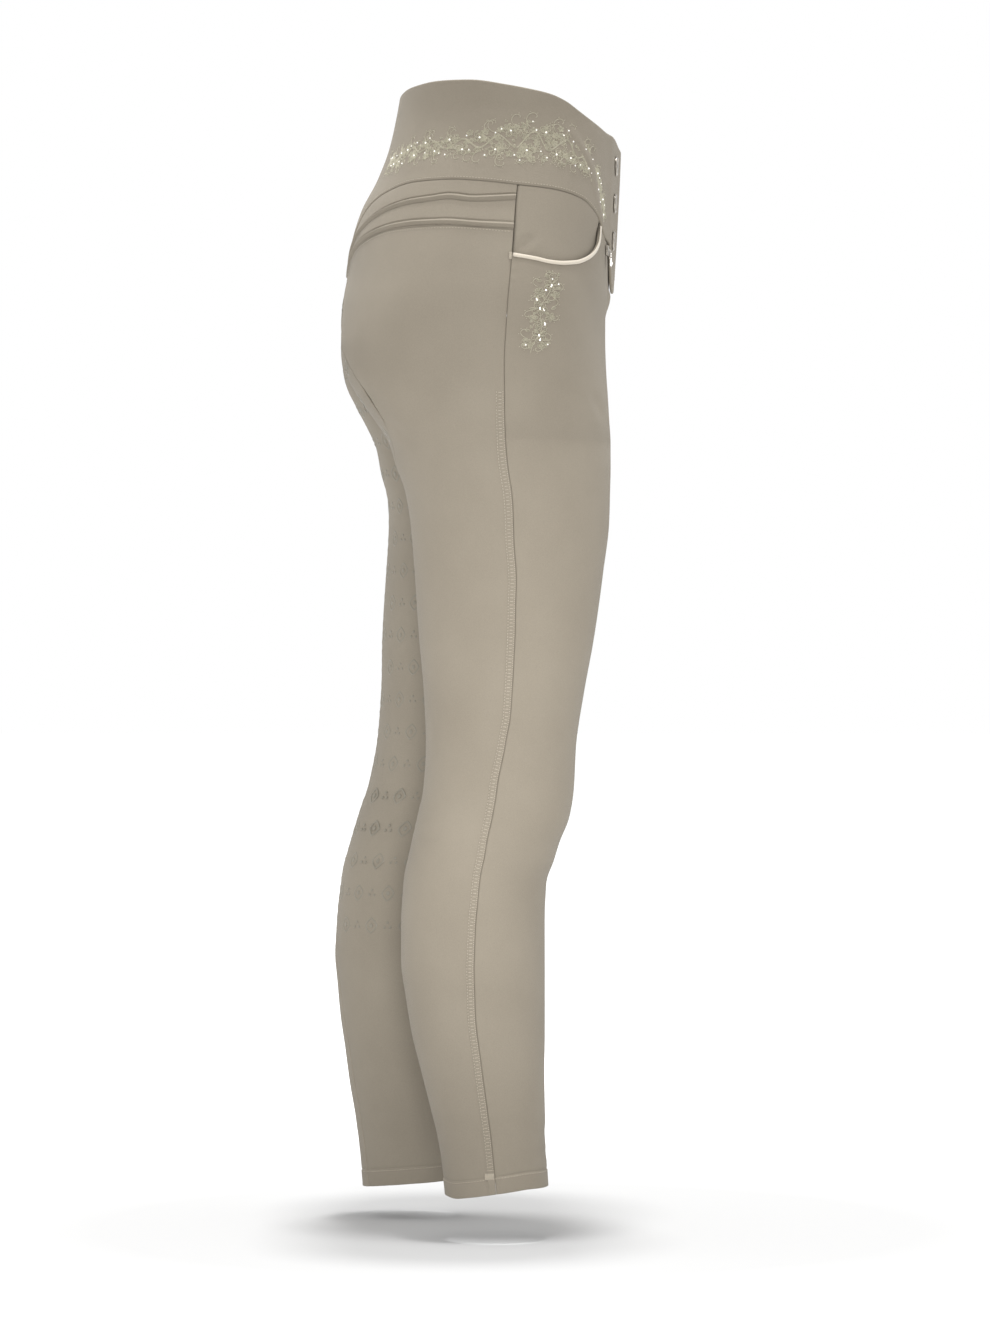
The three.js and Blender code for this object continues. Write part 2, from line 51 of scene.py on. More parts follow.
TORSO = table("z front back half mid square_front square_back", [
    (-300, 85, -130, 171, -22, 3, 2.5),
    (-262, 85, -140.5, 173, -22, 3, 2.5),
    (-230, 85.5, -146.5, 173.5, -22, 3, 2.5),
    (-200, 86.3, -150.5, 172.5, -20, 2.9, 2.5),
    (-170, 87, -148, 169, -18, 2.8, 2.5),
    (-141, 89.5, -142.5, 163.5, -15, 2.7, 2.45),
    (-112, 91.5, -138.5, 156, -12, 2.6, 2.35),
    (-84, 93, -130.3, 147, -9, 2.55, 2.25),
    (-55, 94.5, -115.5, 138, -5, 2.5, 2.2),
    (-27, 95.5, -105, 129, -2, 2.5, 2.2),
    (0, 96, -98.8, 124, 0, 2.5, 2.2),
    (30, 96, -93.5, 125, 0, 2.5, 2.2),
])
LEG = table("z front back lateral medial", [
    (-955, 35.8, -54, 135.5, 53.5),
    (-923, 33.6, -57.4, 136.5, 52.5),
    (-897, 32.3, -61.4, 138.5, 50),
    (-870, 31.9, -68, 141, 47),
    (-838, 31.4, -76.1, 144.5, 43),
    (-806, 31.9, -84.1, 147.5, 39),
    (-774, 31.9, -89.4, 150, 36),
    (-742, 31.9, -93.5, 151.5, 33.5),
    (-710, 31.8, -93.5, 151.5, 32.5),
    (-685, 32.4, -92.2, 150.8, 32.8),
    (-668, 35.2, -90.7, 150, 33.2),
    (-653, 40.3, -87.4, 149.3, 33.6),
    (-638, 45.6, -84.1, 148.5, 34),
    (-614, 54, -78.7, 148, 34.3),
    (-594, 57.1, -74.3, 148, 34),
    (-555, 59.2, -71.9, 149.5, 32.5),
    (-508, 66.2, -73.7, 152.5, 29.5),
    (-461, 74.8, -77.9, 156, 26),
    (-404, 82.8, -81.7, 161.5, 20.5),
    (-359, 88.1, -85.6, 166, 16),
    (-333, 88.8, -90.2, 168, 12.5),
    (-312, 89.3, -97.8, 169.5, 9),
    (-292, 89.3, -104, 171, 0),
    (-270, 88.3, -117, 172.5, 0),
    (-250, 87.8, -130, 173, 0),
    (-230, 87, -142, 173.5, 0),
    (-200, 86, -148.5, 173, 0),
    (-150, 87, -145, 170, 0),
])
# The left leg stands further back than the right one.
SET_BACK = table("z x", [
    (-955, -77.5), (-908, -77), (-870, -74.5), (-813, -68), (-715, -61.5), (-617, -55), (-581, -50.5),
    (-552, -46.5), (-427, -32), (-340, -20), (-295, -15), (-270, -10), (-249, -6.5), (-222, -4.5),
    (-205, -4), (-150, 0),
])
CROTCH_Z = -292
CROTCH_X = -18
CROTCH_START = -165
CROTCH_CURVE = 2.2
CENTRE_REACH_U = 0.2
BODY_START = -150
LEG_CENTRE_START = -420
LEFT_HEM_DROP = 12
SET_BACK_REACH = 55
SET_BACK_DEPTH = 80
# How far the front slopes back on each side of its middle.
KEEL_DEPTH = 1.6
KEEL_TOP_U = 0.19
KEEL_END_U = 0.36
KEEL_END_Z = -170

# Seams and edges as heights over u.
TOP_EDGE = table("u z", [
    (-0.1, -28), (0, -28), (0.1, -26.5), (0.15, -24.5), (0.2, -22.5), (0.25, -21), (0.2925, -19),
    (0.336, -14), (0.366, -8.5), (0.391, -2), (0.41, 4), (0.437, 10), (0.4685, 14), (0.5005, 17.5),
    (0.5575, 22.5), (0.625, 23.5), (0.679, 22.5), (0.7375, 21.5), (0.8, 20), (1, 17),
])
BAND_SEAM = table("u z", [
    (-0.1, -113), (0, -114), (0.222, -116), (0.262, -114.6), (0.287, -112), (0.311, -106.5),
    (0.3225, -100.5), (0.336, -94), (0.356, -87), (0.379, -80.7), (0.428, -73.8), (0.478, -70.5),
    (0.526, -67), (0.57, -65), (0.623, -65.5), (0.7, -72.5), (0.777, -85.5), (0.82, -97), (0.87, -110),
    (0.93, -121), (1, -128),
])
FLAP_BOTTOM = table("u z", [
    (-0.1, -153), (0, -153), (0.09, -151.5), (0.143, -146), (0.196, -135.5), (0.23, -126),
    (0.262, -114.6),
])
FLAP_LIFT = table("u lift", [
    (-0.1, 5.6), (0, 4.4), (0.09, 3.6), (0.14, 3), (0.196, 2.6), (0.262, 2.4), (0.285, 1), (0.3, 0.3),
    (0.32, 0),
])
TUCK_1 = table("u z", [
    (0.478, -81), (0.53, -82.5), (0.564, -80), (0.591, -81.5), (0.622, -83), (0.659, -86.5),
    (0.692, -91), (0.736, -98), (0.767, -103), (0.82, -112), (0.87, -120), (0.93, -128), (1, -134),
])
TUCK_2 = table("u z", [
    (0.478, -106.5), (0.518, -105), (0.565, -102.5), (0.6, -102.5), (0.632, -103.5), (0.673, -106.5),
    (0.712, -110.5), (0.758, -115.5), (0.8, -121), (0.87, -130), (0.93, -136), (1, -140.5),
])
YOKE_SEAM = table("u z", [
    (0.478, -110.5), (0.565, -106.5), (0.632, -107.5), (0.712, -114.5), (0.8, -125.5), (0.87, -135),
    (0.93, -141), (1, -146),
])
POCKET_EDGE = table("u z", [
    (0.3262, -98.9), (0.328, -106), (0.3305, -113), (0.34, -120.5), (0.3575, -127.5), (0.376, -132.5),
    (0.3965, -136.3), (0.42, -137.8), (0.434, -137.2), (0.462, -133), (0.48, -131.3),
])
HEM = table("u z", [
    (0, -940.5), (0.1, -939), (0.2, -938), (0.297, -938.5), (0.377, -938.5), (0.485, -941.5),
    (0.586, -945.5), (0.653, -947.5), (0.7, -946.5), (0.8, -945.5), (0.9, -943), (1, -940.5),
])
# Seams down the leg as u over height.
OUTSEAM = table("z u", [
    (-955, 0.501), (-828, 0.5), (-794, 0.502), (-756, 0.498), (-713, 0.494), (-681, 0.49), (-654, 0.494),
    (-628, 0.501), (-594, 0.504), (-553, 0.491), (-526, 0.484), (-461, 0.485), (-424, 0.487),
    (-391, 0.487), (-332, 0.475), (-266, 0.478), (30, 0.478),
])
REAR_SEAM = table("z u", [
    (-955, 0.835), (-870, 0.825), (-780, 0.8), (-700, 0.765), (-400, 0.765), (-330, 0.75), (-300, 0.715),
    (-271, 0.69), (-242, 0.69), (-200, 0.755), (-150, 0.85), (-100, 0.9),
])
# The seam inside the leg turns forward below the crotch.
INSEAM = table("z u", [
    (-955, 0.125), (-800, 0.12), (-700, 0.11), (-560, 0.075), (-430, 0.03), (-340, 0), (30, 0),
])
POCKET_START_U = 0.3262
FLAP_END_U = 0.262
SIDE_U = 0.478
LEG_WALL = 1.6
BAND_WALL = 2.4
BAND_PROUD = 0.6
HEM_DEPTH = 15.0
HEM_LEVEL = -941.5
HALF_SEAM = 0.14
NORMAL_STEP_U = 0.002
NORMAL_STEP_Z = 0.4


def ease(t):
    t = np.clip(t, 0, 1)
    return t * t * (3 - 2 * t)


def mix(a, b, t):
    return a + (b - a) * t


def bump(distance, width):
    """1 on a line, falling softly to 0 at about twice the width."""
    return np.exp(-(distance / width) ** 2)


TANGENTS = {}


def tangents(xs, ys):
    """The slope of a table's line at each of its knots, worked out once for each table."""
    key = (id(xs), id(ys))
    if key not in TANGENTS:
        step = np.diff(xs)
        slope = np.diff(ys) / step
        tangent = np.zeros_like(ys)
        tangent[0] = slope[0]
        tangent[-1] = slope[-1]
        for i in range(1, len(xs) - 1):
            before, after = slope[i - 1], slope[i]
            if before * after > 0:
                w0 = 2 * step[i] + step[i - 1]
                w1 = step[i] + 2 * step[i - 1]
                tangent[i] = (w0 + w1) / (w0 / before + w1 / after)
        TANGENTS[key] = (xs, ys, tangent)
    return TANGENTS[key][2]


def lookup(xs, ys, at):
    """Monotone cubic lookup, so that a table gives a smooth line without overshoot."""
    step = np.diff(xs)
    tangent = tangents(xs, ys)
    at = np.clip(np.asarray(at, float), xs[0], xs[-1])
    i = np.clip(np.searchsorted(xs, at) - 1, 0, len(xs) - 2)
    h = step[i]
    t = (at - xs[i]) / h
    rise = ys[i] * (1 + 2 * t) * (1 - t) ** 2 + ys[i + 1] * t * t * (3 - 2 * t)
    return rise + h * (tangent[i] * t * (1 - t) ** 2 + tangent[i + 1] * t * t * (t - 1))


def height(line, u):
    return lookup(line["u"], line["z"], u)


def seam_u(seam, z):
    return lookup(seam["z"], seam["u"], z)


def section(columns, z):
    """All of a table's columns, looked up at a height."""
    return {name: lookup(columns["z"], column, z) for name, column in columns.items() if name != "z"}


def torso_point(u, z):
    phi = np.pi * u - np.pi / 12 * np.sin(2 * np.pi * u)
    c, s = np.cos(phi), np.sin(phi)
    at = section(TORSO, z)
    depth = np.where(c > 0, at["front"] - at["mid"], at["mid"] - at["back"])
    power = np.where(c > 0, at["square_front"], at["square_back"])
    radius = ((np.abs(c) / depth) ** power + (np.abs(s) / at["half"]) ** power) ** (-1 / power)
    return at["mid"] + radius * c, -radius * s


def leg_point(u, z):
    psi = -np.pi / 2 + 2 * np.pi * u
    c, s = np.cos(psi), np.sin(psi)
    at = section(LEG, z)
    lateral, medial = at["lateral"], at["medial"]
    blend = ease((z - LEG_CENTRE_START) / (CROTCH_Z - LEG_CENTRE_START))
    mid = mix((at["front"] + at["back"]) / 2, CROTCH_X, blend)
    depth = np.where(c > 0, at["front"] - mid, mid - at["back"])
    return mid + depth * c, -(lateral + medial) / 2 - (lateral - medial) / 2 * s


def wrap(u):
    u = np.asarray(u, float)
    return np.where(u > 1, u - 1, u)


def surface_point(u, z, left):
    """The cloth's outer surface. Below zero, u goes on past the centre front, and past one round the leg."""
    u, z = np.broadcast_arrays(wrap(u), np.asarray(z, float))
    turned = np.abs(u)
    torso_x, torso_y = torso_point(turned, z)
    leg_x, leg_y = leg_point(turned, z)
    drop = np.clip((CROTCH_START - z) / (CROTCH_START - CROTCH_Z), 0, 1)
    at_centre = 1 - np.sqrt(1 - drop ** CROTCH_CURVE)
    at_side = ease((BODY_START - z) / (BODY_START - CROTCH_Z - 5))
    weight = mix(at_centre, at_side, ease(np.minimum(turned, 1 - turned) / CENTRE_REACH_U))
    keel = ease(turned / KEEL_TOP_U) * ease((KEEL_END_U - turned) / 0.17) * ease((z - KEEL_END_Z) / 50)
    x = mix(torso_x, leg_x, weight) - KEEL_DEPTH * keel
    y = mix(torso_y, leg_y, weight)
    if left:
        near = ease(np.abs(y) / SET_BACK_REACH)
        share = mix(near, 1, ease((CROTCH_Z - z) / SET_BACK_DEPTH))
        x = x + lookup(SET_BACK["z"], SET_BACK["x"], z) * share
        y = -y
    return np.stack([x, np.where(u < 0, -y, y), z], -1)


def surface_normal(u, z, left):
    u, z = np.broadcast_arrays(wrap(u), np.asarray(z, float))
    low = np.where(u < 0, u - NORMAL_STEP_U, np.maximum(0, u - NORMAL_STEP_U))
    high = np.minimum(1, u + NORMAL_STEP_U)
    along = surface_point(high, z, left) - surface_point(low, z, left)
    up = surface_point(u, z + NORMAL_STEP_Z, left) - surface_point(u, z - NORMAL_STEP_Z, left)
    normal = np.cross(up, along)
    if left:
        normal = -normal
    return normal / np.linalg.norm(normal, axis=-1, keepdims=True)


def flap_lift(u):
    return BAND_PROUD + lookup(FLAP_LIFT["u"], FLAP_LIFT["lift"], u)


def mesh_object(name, points, faces, material, smooth=True):
    """A mesh object from points in millimetres."""
    mesh = bpy.data.meshes.new(name)
    mesh.from_pydata([tuple(p) for p in np.asarray(points) * MM], [], faces)
    mesh.update()
    if smooth:
        mesh.shade_smooth()
    mesh.materials.append(material)
    piece = bpy.data.objects.new(name, mesh)
    bpy.context.scene.collection.objects.link(piece)
    return piece


class Heap:
    """Many small solids joined into one mesh."""

    def __init__(self):
        self.points = []
        self.faces = []
        self.count = 0

    def add(self, points, faces):
        self.points.append(np.asarray(points, float))
        self.faces.extend(tuple(i + self.count for i in face) for face in faces)
        self.count += len(points)

    def piece(self, name, material, slot, smooth=True, body="breeches"):
        made = mesh_object(name, np.concatenate(self.points), self.faces, material, smooth)
        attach(made, body)
        return made


def signed_volume(points, faces):
    corners = points[np.array([face[:3] for face in faces])]
    rest = points[np.array([(face[0], face[2], face[3]) for face in faces])]
    triple = np.einsum("ij,ij->i", corners[:, 0], np.cross(corners[:, 1], corners[:, 2]))
    other = np.einsum("ij,ij->i", rest[:, 0], np.cross(rest[:, 1], rest[:, 2]))
    return triple.sum() + other.sum()


def wall_faces(rows, columns):
    """Quads of a closed wall: an outer grid, an inner grid and the rim between them."""
    shift = rows * columns
    faces = []
    for i in range(rows - 1):
        for j in range(columns - 1):
            a = i * columns + j
            c = a + columns + 1
            faces.append((a, a + columns, c, a + 1))
            faces.append((shift + a, shift + a + 1, shift + c, shift + a + columns))
    last_row = (rows - 1) * columns
    rim = [(j, j + 1) for j in range(columns - 1)]
    rim += [(i * columns + columns - 1, (i + 1) * columns + columns - 1) for i in range(rows - 1)]
    rim += [(last_row + j, last_row + j - 1) for j in range(columns - 1, 0, -1)]
    rim += [(i * columns, (i - 1) * columns) for i in range(rows - 1, 0, -1)]
    faces += [(a, b, shift + b, shift + a) for a, b in rim]
    return faces


def edge_distances(base):
    """How far each grid point lies from the grid's four edges, along its row and column."""
    along = np.linalg.norm(np.diff(base, axis=1), axis=-1)
    down = np.linalg.norm(np.diff(base, axis=0), axis=-1)
    from_start = np.concatenate([np.zeros((len(base), 1)), np.cumsum(along, 1)], 1)
    from_top = np.concatenate([np.zeros((1, base.shape[1])), np.cumsum(down, 0)], 0)
    return {
        "start": from_start,
        "end": from_start[:, -1:] - from_start,
        "top": from_top,
        "bottom": from_top[-1:] - from_top,
    }


SEAM_ROLL = 1.6
SEAM_DIP = 0.7


def edge_drop(distance, kind, wall):
    """How far the outer face falls towards an edge: rolled into a seam, or rounded where it is free."""
    if kind == "seam":
        short = np.clip(1 - distance / SEAM_ROLL, 0, 1)
        return SEAM_DIP * short ** 2.2
    radius = wall / 2
    short = np.clip(1 - distance / radius, 0, 1)
    return radius * (1 - np.sqrt(1 - short ** 2))


def pull_in(grid):
    """Draw the edge points in, for the width of a seam."""
    for line, inner in ((grid[:, 0], grid[:, 1]), (grid[:, -1], grid[:, -2])):
        step = inner - line
        length = np.maximum(np.linalg.norm(step, axis=-1, keepdims=True), 1e-6)
        line += step / length * np.minimum(HALF_SEAM, length * 0.45)
    return grid


def shell(node, u, z, left, relief, wall, edges, material, held_in=True):
    """A cloth piece over its solid: outer face with relief, plain inner face, closed rim."""
    base = surface_point(u, z, left)
    normal = surface_normal(u, z, left)
    distance = edge_distances(base)
    face = relief(u, z, distance)
    drop = sum(edge_drop(distance[side], kind, wall) for side, kind in edges.items())
    free = [side for side, kind in edges.items() if kind == "free"]
    rise = sum((edge_drop(distance[side], "free", wall) for side in free), np.zeros_like(face))
    inside = np.minimum(relief.base(u, z) - wall + np.minimum(rise, wall / 2), face - drop - 0.2)
    outer = pull_in(base + normal * (face - drop)[..., None])
    inner = pull_in(base + normal * inside[..., None])
    if held_in:
        for grid in (outer, inner):
            keep = np.maximum if left else np.minimum
            grid[..., 1] = keep(grid[..., 1], HALF_SEAM if left else -HALF_SEAM)
    rows, columns = u.shape
    points = np.concatenate([outer.reshape(-1, 3), inner.reshape(-1, 3)])
    faces = wall_faces(rows, columns)
    if signed_volume(points, faces) < 0:
        faces = [face[::-1] for face in faces]
    piece = mesh_object(f"{node}_cloth", points, faces, material)
    across = distance["start"] * MM
    layout = np.stack([across, z * MM], -1).reshape(-1, 2)
    layout = np.concatenate([layout, layout])
    corner_points = np.empty(len(piece.data.loops), int)
    piece.data.loops.foreach_get("vertex_index", corner_points)
    uv = piece.data.uv_layers.new(name="Cloth")
    uv.data.foreach_set("uv", layout[corner_points].ravel())
    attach(piece, "breeches")
    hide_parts(node)


# Materials


def node_material(name, colour, roughness, metallic=0.0):
    material = bpy.data.materials.new(name)
    material.use_nodes = True
    shader = material.node_tree.nodes["Principled BSDF"]
    shader.inputs["Base Color"].default_value = (*colour, 1)
    shader.inputs["Roughness"].default_value = roughness
    shader.inputs["Metallic"].default_value = metallic
    return material, material.node_tree, shader


def add_node(tree, kind, operation=None, **inputs):
    """A node whose inputs are set to values, or linked from other nodes' sockets. In a name, _ is a space."""
    node = tree.nodes.new(kind)
    if operation:
        node.operation = operation
    for key, value in inputs.items():
        socket = node.inputs[int(key[1:]) if key[1:].isdigit() else key.replace("_", " ")]
        if isinstance(value, bpy.types.NodeSocket):
            tree.links.new(value, socket)
        else:
            socket.default_value = value
    return node.outputs


def paint(tree, shader, factor, dark, light, start=0.0, end=1.0):
    """Colours the shader from dark to light by a factor."""
    ramp = tree.nodes.new("ShaderNodeValToRGB")
    for element, place, colour in zip(ramp.color_ramp.elements, (start, end), (dark, light)):
        element.position = place
        element.color = (*colour, 1)
    tree.links.new(factor, ramp.inputs["Fac"])
    tree.links.new(ramp.outputs["Color"], shader.inputs["Base Color"])


def cloth_material(name, dark, light, roughness, weave_depth, rib=1900.0, sheen=0.07):
    """Stretch twill: fine slanted ribs, a slight melange and a soft sheen."""
    material, tree, shader = node_material(name, light, roughness)
    shader.inputs["Sheen Weight"].default_value = sheen
    shader.inputs["Sheen Roughness"].default_value = 0.5
    shader.inputs["Specular IOR Level"].default_value = 0.25
    place = add_node(tree, "ShaderNodeTexCoord")
    broad = add_node(tree, "ShaderNodeTexNoise", Vector=place["Object"], Scale=14, Detail=3)["Fac"]
    fine = add_node(tree, "ShaderNodeTexNoise", Vector=place["Object"], Scale=1500, Detail=2)["Fac"]
    speck = add_node(tree, "ShaderNodeMath", "MULTIPLY", _0=fine, _1=0.55)[0]
    blend = add_node(tree, "ShaderNodeMath", "MULTIPLY_ADD", _0=broad, _1=0.45, _2=speck)[0]
    paint(tree, shader, blend, dark, light, 0.3, 0.7)
    turned = (0, 0, math.radians(58))
    slant = add_node(tree, "ShaderNodeMapping", Vector=place["UV"], Rotation=turned)["Vector"]
    twill = add_node(tree, "ShaderNodeTexWave", Vector=slant, Scale=rib / 2, Distortion=0.6, Detail=1)["Fac"]
    weave = add_node(tree, "ShaderNodeMath", "ADD", _0=twill, _1=fine)[0]
    relief = add_node(tree, "ShaderNodeBump", Height=weave, Strength=weave_depth, Distance=0.00012)
    tree.links.new(relief["Normal"], shader.inputs["Normal"])
    return material


def thread_material(name, colour, roughness=0.55):
    material, tree, shader = node_material(name, colour, roughness)
    shader.inputs["Sheen Weight"].default_value = 0.2
    place = add_node(tree, "ShaderNodeTexCoord")["Object"]
    twist = add_node(tree, "ShaderNodeTexNoise", Vector=place, Scale=900)["Fac"]
    paint(tree, shader, twist, [c * 0.8 for c in colour], [min(1, c * 1.15) for c in colour])
    return material


def metal_material(name, dark, light, roughness):
    material, tree, shader = node_material(name, light, roughness, metallic=1.0)
    place = add_node(tree, "ShaderNodeTexCoord")["Object"]
    wear = add_node(tree, "ShaderNodeTexNoise", Vector=place, Scale=320, Detail=4)["Fac"]
    paint(tree, shader, wear, dark, light, 0.35, 0.65)
    rough = add_node(tree, "ShaderNodeMapRange", Value=wear, To_Min=roughness * 0.8, To_Max=roughness * 1.3)
    tree.links.new(rough["Result"], shader.inputs["Roughness"])
    return material


CLOTH = cloth_material("stretch_cloth", (0.212, 0.184, 0.143), (0.257, 0.226, 0.178), 0.82, 0.45)
GRIP = cloth_material("grip_cloth", (0.204, 0.178, 0.139), (0.246, 0.217, 0.171), 0.8, 0.4)
SATIN = cloth_material("satin_binding", (0.48, 0.43, 0.35), (0.58, 0.52, 0.43), 0.42, 0.2, 2600.0, 0.3)
THREAD = thread_material("seam_thread", (0.42, 0.37, 0.29))
EMBROIDERY = thread_material("embroidery_thread", (0.43, 0.40, 0.295), 0.45)
METAL = metal_material("silver_metal", (0.24, 0.22, 0.19), (0.42, 0.385, 0.335), 0.3)
STONE = metal_material("stones", (0.80, 0.78, 0.74), (0.97, 0.96, 0.93), 0.1)
# The stones glow by their own light: a painted glint, so that they show bright white from any side.
STONE_PAINTED_GLINT = STONE.node_tree.nodes["Principled BSDF"].inputs
STONE_PAINTED_GLINT["Emission Color"].default_value = (1, 0.98, 0.93, 1)
STONE_PAINTED_GLINT["Emission Strength"].default_value = 0.8
SILICONE = node_material("silicone_print", (0.182, 0.165, 0.128), 0.36)[0]


# Cloth panels


class Relief:
    """A plain lift and the forms raised on it."""

    def __init__(self, base, *forms):
        self.base = base
        self.forms = forms

    def __call__(self, u, z, distance):
        return self.base(u, z) + sum((form(u, z, distance) for form in self.forms), np.zeros_like(u))


def flat_base(u, z):
    return np.zeros_like(u)


GIRTH = table("z per_u", [
    (-950, 300), (-710, 385), (-560, 390), (-400, 480), (-300, 545), (-200, 620), (-60, 560), (30, 500),
])


def girth(z):
    """Millimetres round the half for each unit of u."""
    return np.interp(z, GIRTH["z"], GIRTH["per_u"])


def fold(start, end, depth, width, bow=0.0):
    """A soft trough, or a ridge where depth is negative, between two (u, z) spots."""

    def form(u, z, distance):
        scale = girth((start[1] + end[1]) / 2)
        along = np.array([(end[0] - start[0]) * scale, end[1] - start[1]])
        length = np.hypot(*along)
        along = along / length
        s = (u - start[0]) * scale
        t = z - start[1]
        share = (s * along[0] + t * along[1]) / length
        off = -s * along[1] + t * along[0] - bow * np.sin(np.pi * np.clip(share, 0, 1))
        fade = ease(share / 0.35) * ease((1 - share) / 0.35)
        return -depth * fade * (bump(off, width) - 0.35 * bump(np.abs(off) - 1.7 * width, width))

    return form


def hem_turn(u, z, distance):
    below = ease((HEM_DEPTH + 0.6 - distance["bottom"]) / 1.2)
    return 0.45 * below - 0.55 * bump(distance["bottom"] - HEM_DEPTH, 0.9)


BAND_START_Z = -205


def side_band(u, z, distance):
    """The flat-locked band behind the outer seam, from the hip down."""
    inside = ease((6.6 - distance["start"]) / 1.0)
    shown = ease((BAND_START_Z - z) / 90)
    return shown * (0.35 * inside - 0.25 * bump(distance["start"] - 6.8, 0.6))


def seam_pucker(side, reach=9.0, height_mm=0.16, pitch=8.5):
    """Slight waves where the thread draws the cloth in."""

    def form(u, z, distance):
        far = distance[side]
        wave = np.sin(2 * np.pi * z / pitch + 1.7 * np.sin(z / 31.0)) + 0.5 * np.sin(2 * np.pi * z / 13.3)
        return height_mm * wave * bump(far - 2.5, reach / 2)

    return form


def edge_shares(width, inner_count, fine=(0.25, 0.6, 1.1, 1.8, 2.7, 4.2, 5.6, 6.4, 6.8, 7.2, 8.0)):
    """Shares of a width, close together at both edges and even between them."""
    near = np.array(fine) / width
    middle = np.linspace(near[-1], 1 - near[-1], inner_count)[1:-1]
    return np.concatenate([[0], near, middle, (1 - near)[::-1], [1]])


FIRST_LEVEL = -160.0
HEM_BLEND_START = -560
HEM_BLEND_DEPTH = 380
HEM_STEPS = np.array([34, 30, 26, 22, 19, 17, 16.2, 15.5, 15, 14.5, 13.8, 12.6, 10, 7, 4, 2, 1, 0.5, 0.2, 0])


def leg_grid(shares, start_u, end_u, top_line, left):
    """Rows from the panel's top line down to the hem, columns between its two seams."""
    edge = np.array([0, 0.3, 0.7, 1.2, 1.9, 2.8, 4.0])
    levels = np.concatenate([
        np.arange(FIRST_LEVEL, -262, -3.5),
        np.arange(-262, -286, -1.6),
        np.arange(-286, -298, -0.6),
        [-298.5, -300, -302, -305],
        np.arange(-309, -900, -4.2),
    ])
    crotch = np.argmin(np.abs(levels - CROTCH_Z))
    levels[crotch] = CROTCH_Z
    top_shares = np.linspace(0, 1, 16)[1:-1]
    top_rows = len(edge) + len(top_shares)
    below_top = np.concatenate([edge, edge[-1] + 0 * top_shares])[:, None]
    toward_first = np.concatenate([0 * edge, top_shares])[:, None]
    near_hem = ease((HEM_BLEND_START - levels) / HEM_BLEND_DEPTH)[:, None]

    def rows(u):
        top = top_line(u[:top_rows])
        upper = mix(top - below_top, FIRST_LEVEL, toward_first)
        hem = height(HEM, wrap(u[top_rows:])) - (LEFT_HEM_DROP if left else 0)
        middle = levels[:, None] + (hem[:len(levels)] - HEM_LEVEL) * near_hem
        lowest = hem[len(levels):] + HEM_STEPS[:, None]
        return np.concatenate([upper, middle, lowest])

    count = top_rows + len(levels) + len(HEM_STEPS)
    share = np.broadcast_to(shares, (count, len(shares)))
    z = np.broadcast_to(np.linspace(-120, -940, count)[:, None], share.shape)
    for _ in range(10):
        u = mix(start_u(z), end_u(z), share)
        z = rows(u)
    return u, z


def inseam(z):
    return seam_u(INSEAM, z)


def inner_seam(z):
    return 1 + inseam(z)


def outseam(z):
    return seam_u(OUTSEAM, z)


def rear_seam(z):
    return seam_u(REAR_SEAM, z)


def front_top(u):
    band = height(BAND_SEAM, u)
    return np.where(u <= POCKET_START_U, band, np.minimum(band, height(POCKET_EDGE, u)))


def yoke_line(u):
    return height(YOKE_SEAM, u)


FLY_RISE = table("z lift", [
    (-176, 0), (-171, 0.9), (-164, 2.8), (-158, 3.3), (-154.5, 2.4), (-152, 1.1), (-140, 0.8), (-125, 0.4),
    (-116, 0),
])


def fly(u, z, distance):
    """The closed zip pushes the cloth out below the flap."""
    return lookup(FLY_RISE["z"], FLY_RISE["lift"], z) * ease((0.17 - np.abs(u)) / 0.1)


FRONT_FOLDS = [
    fly,
    fold((0.3155, -118), (0.304, -150), 0.9, 2.2),
    fold((0.318, -104), (0.292, -121), 0.7, 2.0),
    fold((0.425, -232), (0.375, -262), 0.8, 7),
    fold((0.345, -244), (0.30, -276), 0.9, 6),
    fold((0.12, -222), (0.02, -262), 1.0, 6),
    fold((0.10, -250), (0.02, -282), 0.8, 5),
    fold((0.40, -628), (0.22, -640), 0.9, 9, 4),
    fold((0.40, -668), (0.20, -676), 0.8, 7, -3),
    fold((0.14, -596), (0.03, -606), 0.8, 8),
    fold((0.42, -884), (0.18, -893), 0.6, 7, 3),
    fold((0.38, -912), (0.12, -905), 0.5, 5),
]
BACK_FOLDS = [
    fold((0.745, -226), (0.63, -272), 1.3, 11, 5),
    fold((0.72, -258), (0.60, -300), 0.8, 8, 3),
    fold((0.55, -598), (0.73, -612), 1.0, 9, -4),
    fold((0.58, -630), (0.75, -634), 1.1, 7, -3),
    fold((0.56, -660), (0.72, -672), 0.7, 7),
    fold((0.54, -884), (0.74, -896), 0.7, 7, 3),
    fold((0.56, -908), (0.78, -914), 0.5, 5),
]
SEAT_FOLDS = [
    fold((0.80, -252), (0.93, -288), 1.2, 8, 4),
    fold((0.84, -292), (0.97, -316), 1.0, 6),
    fold((0.80, -604), (0.97, -596), 0.9, 8),
    fold((0.80, -634), (0.97, -628), 1.0, 7),
    fold((0.83, -664), (0.97, -668), 0.7, 6),
    fold((0.85, -890), (0.98, -884), 0.6, 6),
]


